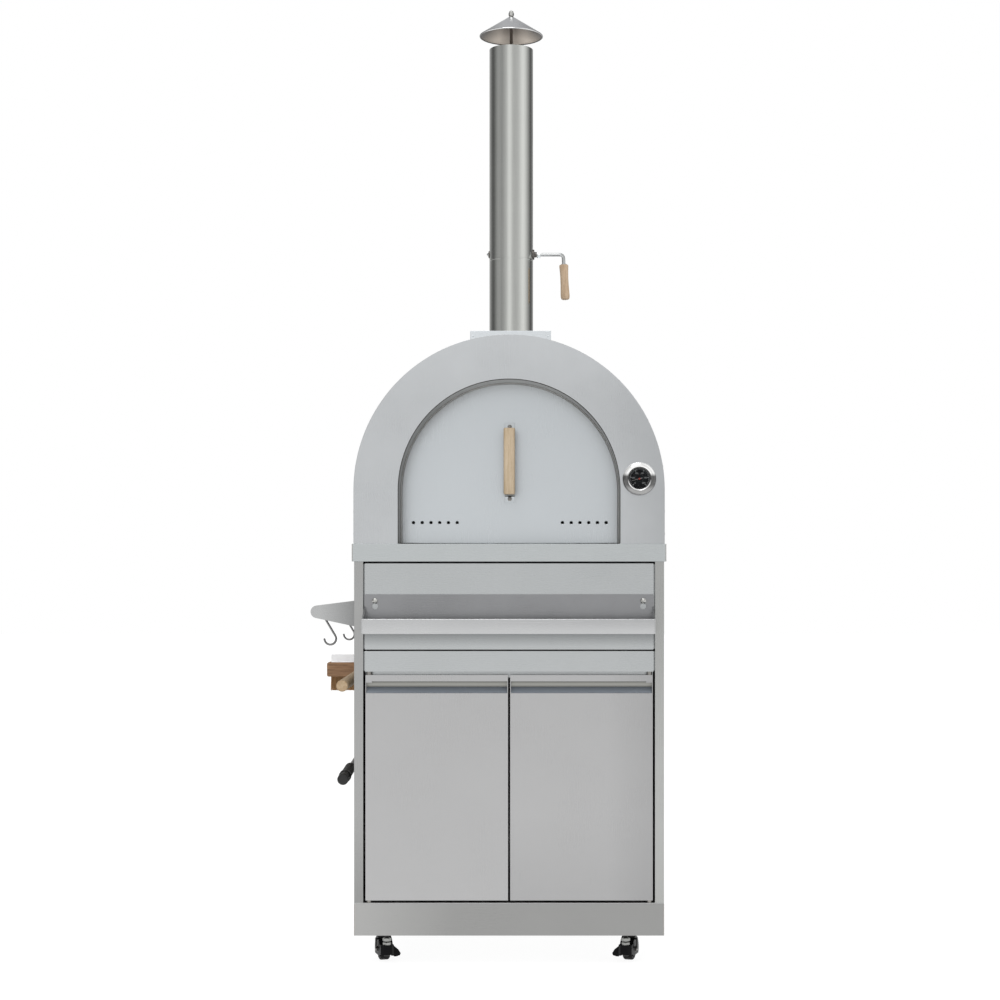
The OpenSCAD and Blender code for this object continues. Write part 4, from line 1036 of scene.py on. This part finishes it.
def brush():
    head, half, deep, thick = 588.0, 98.0, 45.0, 17.8
    held = tool_frame(26, -288, 615.6, 1.11)
    form = Form(axis="Y", within=held)
    form.lathe([(0, 0), (9, 0.2), (11.4, 1), (12.7, 3), (13, 6), (13, 18), (12.6, 19.5), (13, 21),
                (13, 500), (12.4, 560), (12, 600), (12, 612), (0, 612)], 40)
    made("brush_stick", form, "brush_wood", "brush", "handle_wood", ["brush_handle"])
    form = Form((0, head, 0), "Y", within=held)
    form.soft_block(half, thick, 5, 5, 0, deep, [(3, 0), (0.9, 0.8), (0, 3)])
    made("brush_body", form, "block_wood", "brush", "block_wood", ["brush_block"])
    form = Form((0, head - 0.4, 0), "Y", within=held)
    form.hoop([(12.6, 0.6), (15.4, 0.6), (15.4, -0.2), (14.8, -0.6), (12.6, -0.6)], 40)
    made("brush_ferrule", form, body="brush")
    rng = random.Random(4)
    form = Form(within=held)
    for i in range(25):
        for j in range(6):
            cx, cy = -86 + 172 * i / 24, head + 7.5 + 30 * j / 5
            for _ in range(11):
                a, r = rng.random() * 6.3, 2.7 * math.sqrt(rng.random())
                out = Vector((r * math.cos(a), r * math.sin(a), 0))
                root = Vector((cx, cy, -17)) + out
                tip = root + out * 0.4375 - Vector((0, 0, 34.5 + rng.random() * 1.3))
                form.loft([[tip + Vector((dx, dy, 0))
                            for dx, dy in ((0.4, 0), (-0.2, 0.35), (-0.2, -0.35))],
                           [root + Vector((dx, dy, 0))
                            for dx, dy in ((0.5, 0), (-0.25, 0.43), (-0.25, -0.43))]])
    made("brush_tufts", form, "bristle", "brush", "bristle", ["brush_bristles"])
    y = head + 13
    path = rounded([(y - 8, 18.3), (y, 18.3), (y, 37.5)], 2.5)
    form = Form((-88, 0, 0), "X", within=held).prism(ribbon(path, 1.1), 0, 176)
    form.domes([(x, y - 5, 18.8) for x in (-70, 0, 70)], "Z", 3, 1.4)
    # The scraper's near-white steel is a painted highlight.
    made("brush_blade", form, "bright", "brush", "stainless", ["brush_scraper"], bevel=0.3)


def rake():
    held = tool_frame(25, -280, 409.1, 3.6)
    profile = [(0, 0.3), (8, 0), (11, 0.9), (12.4, 3), (12.5, 17), (11.6, 19.5), (11.4, 22),
               (11.4, 42), (13.6, 45), (13.8, 47), (13.8, 57), (12.2, 61)]
    for i in range(12):
        profile += [(r, 66 + i * 8.5 + h)
                    for r, h in ((12.1, 0), (12.1, 5.4), (11.3, 6.2), (11.3, 7.4), (12.1, 8.2))]
    profile += [(12, 170), (9.4, 183), (8.6, 185), (6, 185)]
    form = Form(axis="Y", within=held).lathe(profile, 44)
    made("rake_sleeve", form, "rubber", "rake", "black_rubber", ["rake_grip"])
    form = Form(axis="Y", within=held)
    form.lathe([(6, 30), (6, 636), (7.2, 637), (8.4, 639.8), (6, 640)], 32)
    form.place((0, 640, 0), "Y").prism(rectangle(28, 90, 9, 6), 0, 2)
    made("rake_blade", form, "hook", "rake", "stainless", ["rake_head"], bevel=0.4)


# ---- Casters ----


def corner(sx, sy):
    """Frame of a caster: the wheel trails along +Y, and the pedal is on the +X side."""
    flip = Matrix.Diagonal((-1 if sx > 0 else 1, 1, 1, 1))
    return Matrix.Translation((sx * 265 - 7, sy * 240, 0)) \
        @ Matrix.Rotation(math.radians(-sx * 16), 4, "Z") @ flip


CORNERS = {"fl": (-1, -1), "fr": (1, -1), "rl": (-1, 1), "rr": (1, 1)}


def casters():
    bright, dark = Form(), Form()
    for name, signs in CORNERS.items():
        bright.frame = dark.frame = place = corner(*signs)
        for z, height, spin in ((38.8, 6, 12), (47.2, 7, 40), (69, 8, 40)):
            bright.place(spin=spin).nut(17, z, z + height)
        bright.place().lathe([(9.4, 77), (9.4, 77.1), (5, 78)], 24)
        dark.place().thread(5, 16.4, 84, 1.5).lathe([(6.6, 14), (6.6, 17), (4, 17)], 28)
        axle = (0, 34, 25)
        half = [(3.06, -12.2), (8, -12.2), (8.2, -10.6), (10, -9.6), (17, -9.6), (18.6, -10.6),
                (20.6, -11), (22.4, -10.8), (24, -9.6), (24.8, -8), (25, -6), (25, -4),
                (24.5, -3.6), (24.5, -2.6), (25, -2.2)]
        form = Form(axle, "X", within=place)
        form.hoop(half + [(r, -h) for r, h in reversed(half)], 72)
        for i in range(5):
            form.place(axle, "X", 72 * i)
            for h in (-11.2, 9.4):
                form.block((8, -1.2, h), (18.4, 1.2, h + 1.8))
        made("wheel_" + name, form, "tread", "wheel_" + name, "caster_tread",
             ["caster_wheel_" + name])
        form = Form(within=place)
        for x, way in ((-15, "-X"), (15, "X")):
            form.place((x, 34, 25), way).nut(9, 0.2, 3.4)
            form.lathe([(6.4, 0), (6.4, 0.5), (0, 0.5)], 28)
        made("axle_bolt_" + name, form, "dark_zinc", "caster_" + name)
    made("caster_nuts", bright, "nut")
    made("caster_pins", dark, "black_metal", replaces=["caster_stems"])
    rib = [(19.6, 31.2), (27.4, 24.5), (32.4, 17.2), (33.1, 17.4), (28, 25.4), (20, 32.2)]
    for name, side in (("left", -1), ("right", 1)):
        form = Form(within=corner(side, -1))
        for y in (11, 14.3, 17.6, 21, 24.3):
            form.place((0, y, 0), "-Y").prism(rib, -0.7, 0.7)
        made("pedal_ribs_" + name, form, "caster", "pedal_" + name, "caster_plastic")


# ---- Screws, rivets, welds and seams of the fixed body ----


def fixings():
    form = Form()
    for y in (FRONT + 10, BACK - 10):
        for x, way in ((ARCH_R, "X"), (-ARCH_R, "-X")):
            form.domes([(x, y, 950), (x, y, 1000)], way, 2.6, 1.2)
    for a in range(9, 180, 18):
        c, s = math.cos(math.radians(a)), math.sin(math.radians(a))
        out = Matrix((Vector((0, 1, 0)), Vector((-s, 0, c)), Vector((c, 0, s)))).transposed()
        for y in (FRONT + 10, BACK - 10):
            at = Vector((ARCH_R * c, y, ARCH_Z + ARCH_R * s))
            form.frame = Matrix.Translation(at) @ out.to_4x4()
            form.place().dome(2.6, 1.2)
    made("shell_rivets", form)

    angles = range(0, 181, 20)
    screws = [(x, z, a) for (x, z), a in zip(bow((0, ARCH_Z), 326, 326, angles), angles)]
    screws += [(x, 950, 0) for x in (-326, 326)]
    screws += [(x, z, z) for x in (-331, 331) for z in (165, 300, 440, 580, 720, 862)]
    form = Form()
    for x, z, spin in screws:
        form.place((x, BACK, z), "Y", spin).screw(4.2, 2.4)
    made("back_screws", form)

    def raised(*layers):
        """Pressing whose layers are (outline, height)."""
        form.loft([[(p[0], p[1], height) for p in outline] for outline, height in layers])

    # Pressed beads and louvres that stiffen and air the cabinet's back.
    form = Form((0, BACK - 1.5, 0), "Y")
    for z in (250, 420, 590):
        raised((stadium(245, z, 9), 0), (stadium(245, z, 5), 1.1))
    for i in range(9):
        form.place(((i - 4) * 34.0, BACK - 1.5, 790), "Y")
        outer = rectangle(5, 38, 5, 6)
        raised((outer, 0), ([(p.x * 0.9 + 0.6, p.y * 0.97) for p in outer], 1.0),
               ([(p.x * 0.5 + 2.2, p.y * 0.92) for p in outer], 1.4))
    made("cabinet_back_pressings", form, "panel", "oven", "stainless")
    form = Form((0, BACK, 0), "Y")
    for z in range(985, 1095, 22):
        raised((stadium(150, z, 4, 8), 0), (stadium(150, z + 1, 2, 8), 1.3))
    made("oven_back_louvres", form, "facade", "oven", "stainless")

    # Corner welds of the base frame and the plinth.
    form = Form()
    for low, high in (spot("base_frame"), spot("plinth")):
        count = int((high.z - low.z) / 3)
        for x, y in ((x, y) for x in (low.x, high.x) for y in (low.y, high.y)):
            centre = (x - math.copysign(0.75, x), y - math.copysign(0.75, y))
            form.loft([circle(1.0 + 0.06 * math.sin(2.3 * i),
                              low.z + 0.5 + (high.z - low.z - 1) * i / count, 8, centre)
                       for i in range(count + 1)])
    made("corner_welds", form, "weld", "oven", "stainless")

    places = [(sx * 289.5 + dx, sy * 223.5 + dy, 66) for sx, sy in CORNERS.values()
              for dx in (-38, 38) for dy in (-40, 40)]
    made("gusset_rivets", Form().domes(places, "-Z", 3.4, 1.6))

    # Rolled edge of the mouth, near black as painted shade along the mouth's edge.
    section = oval((0.4, 0.9), 1.3, 1.0, 8)
    rings = [[(x, FRONT + v, z) for x, z in arch(MOUTH_R + u, HEARTH + 1.2, 90)]
             for u, v in section + section[:1]]
    made("mouth_bead", Form().loft(rings, closed=False), "mouth_edge", "oven", "stainless")


for build in (oven_door, cabinet_doors, hanging_tray, flue, rain_cap, damper, thermometer,
              tool_rack, brush, rake, casters, fixings):
    build()

# ---- CAD nodes that keep their shape ----

SHEET_EDGE = 0.4
DRESSED = {
    "base": ["base_frame"],
    "fascia": ["fascia_panel", "front_rail"],
    "panel": ["back_panel", "oven_shell", "cabinet_floor"],
    "rack": ["tool_rack", "tool_cradles"],
    "collar": ["flue_collar"],
    "upright_left": ["side_panel_left"],
    "upright_right": ["side_panel_right"],
    "facade": ["oven_facade", "oven_back"],
    "door": ["cabinet_door_left"],
    "door_right": ["cabinet_door_right"],
    "plinth": ["plinth"],
    "flue": ["flue_pipe_lower", "flue_pipe_upper"],
    "inner": ["chamber_vault", "oven_door_liner", "damper_plate"],
    "mouth": ["mouth_frame"],
    "dark_zinc": ["hinge_pins"],
    "black_metal": ["door_magnets"],
    "caster": ["caster_fork_fl", "caster_fork_fr", "caster_fork_rl", "caster_fork_rr",
               "brake_pedal_left", "brake_pedal_right"],
    "brick": ["baking_stones"],
    "board": ["hearth_board"],
    "fibre": ["insulation"],
}
for material, nodes in DRESSED.items():
    for node in nodes:
        dress(node, material, SHEET_EDGE)
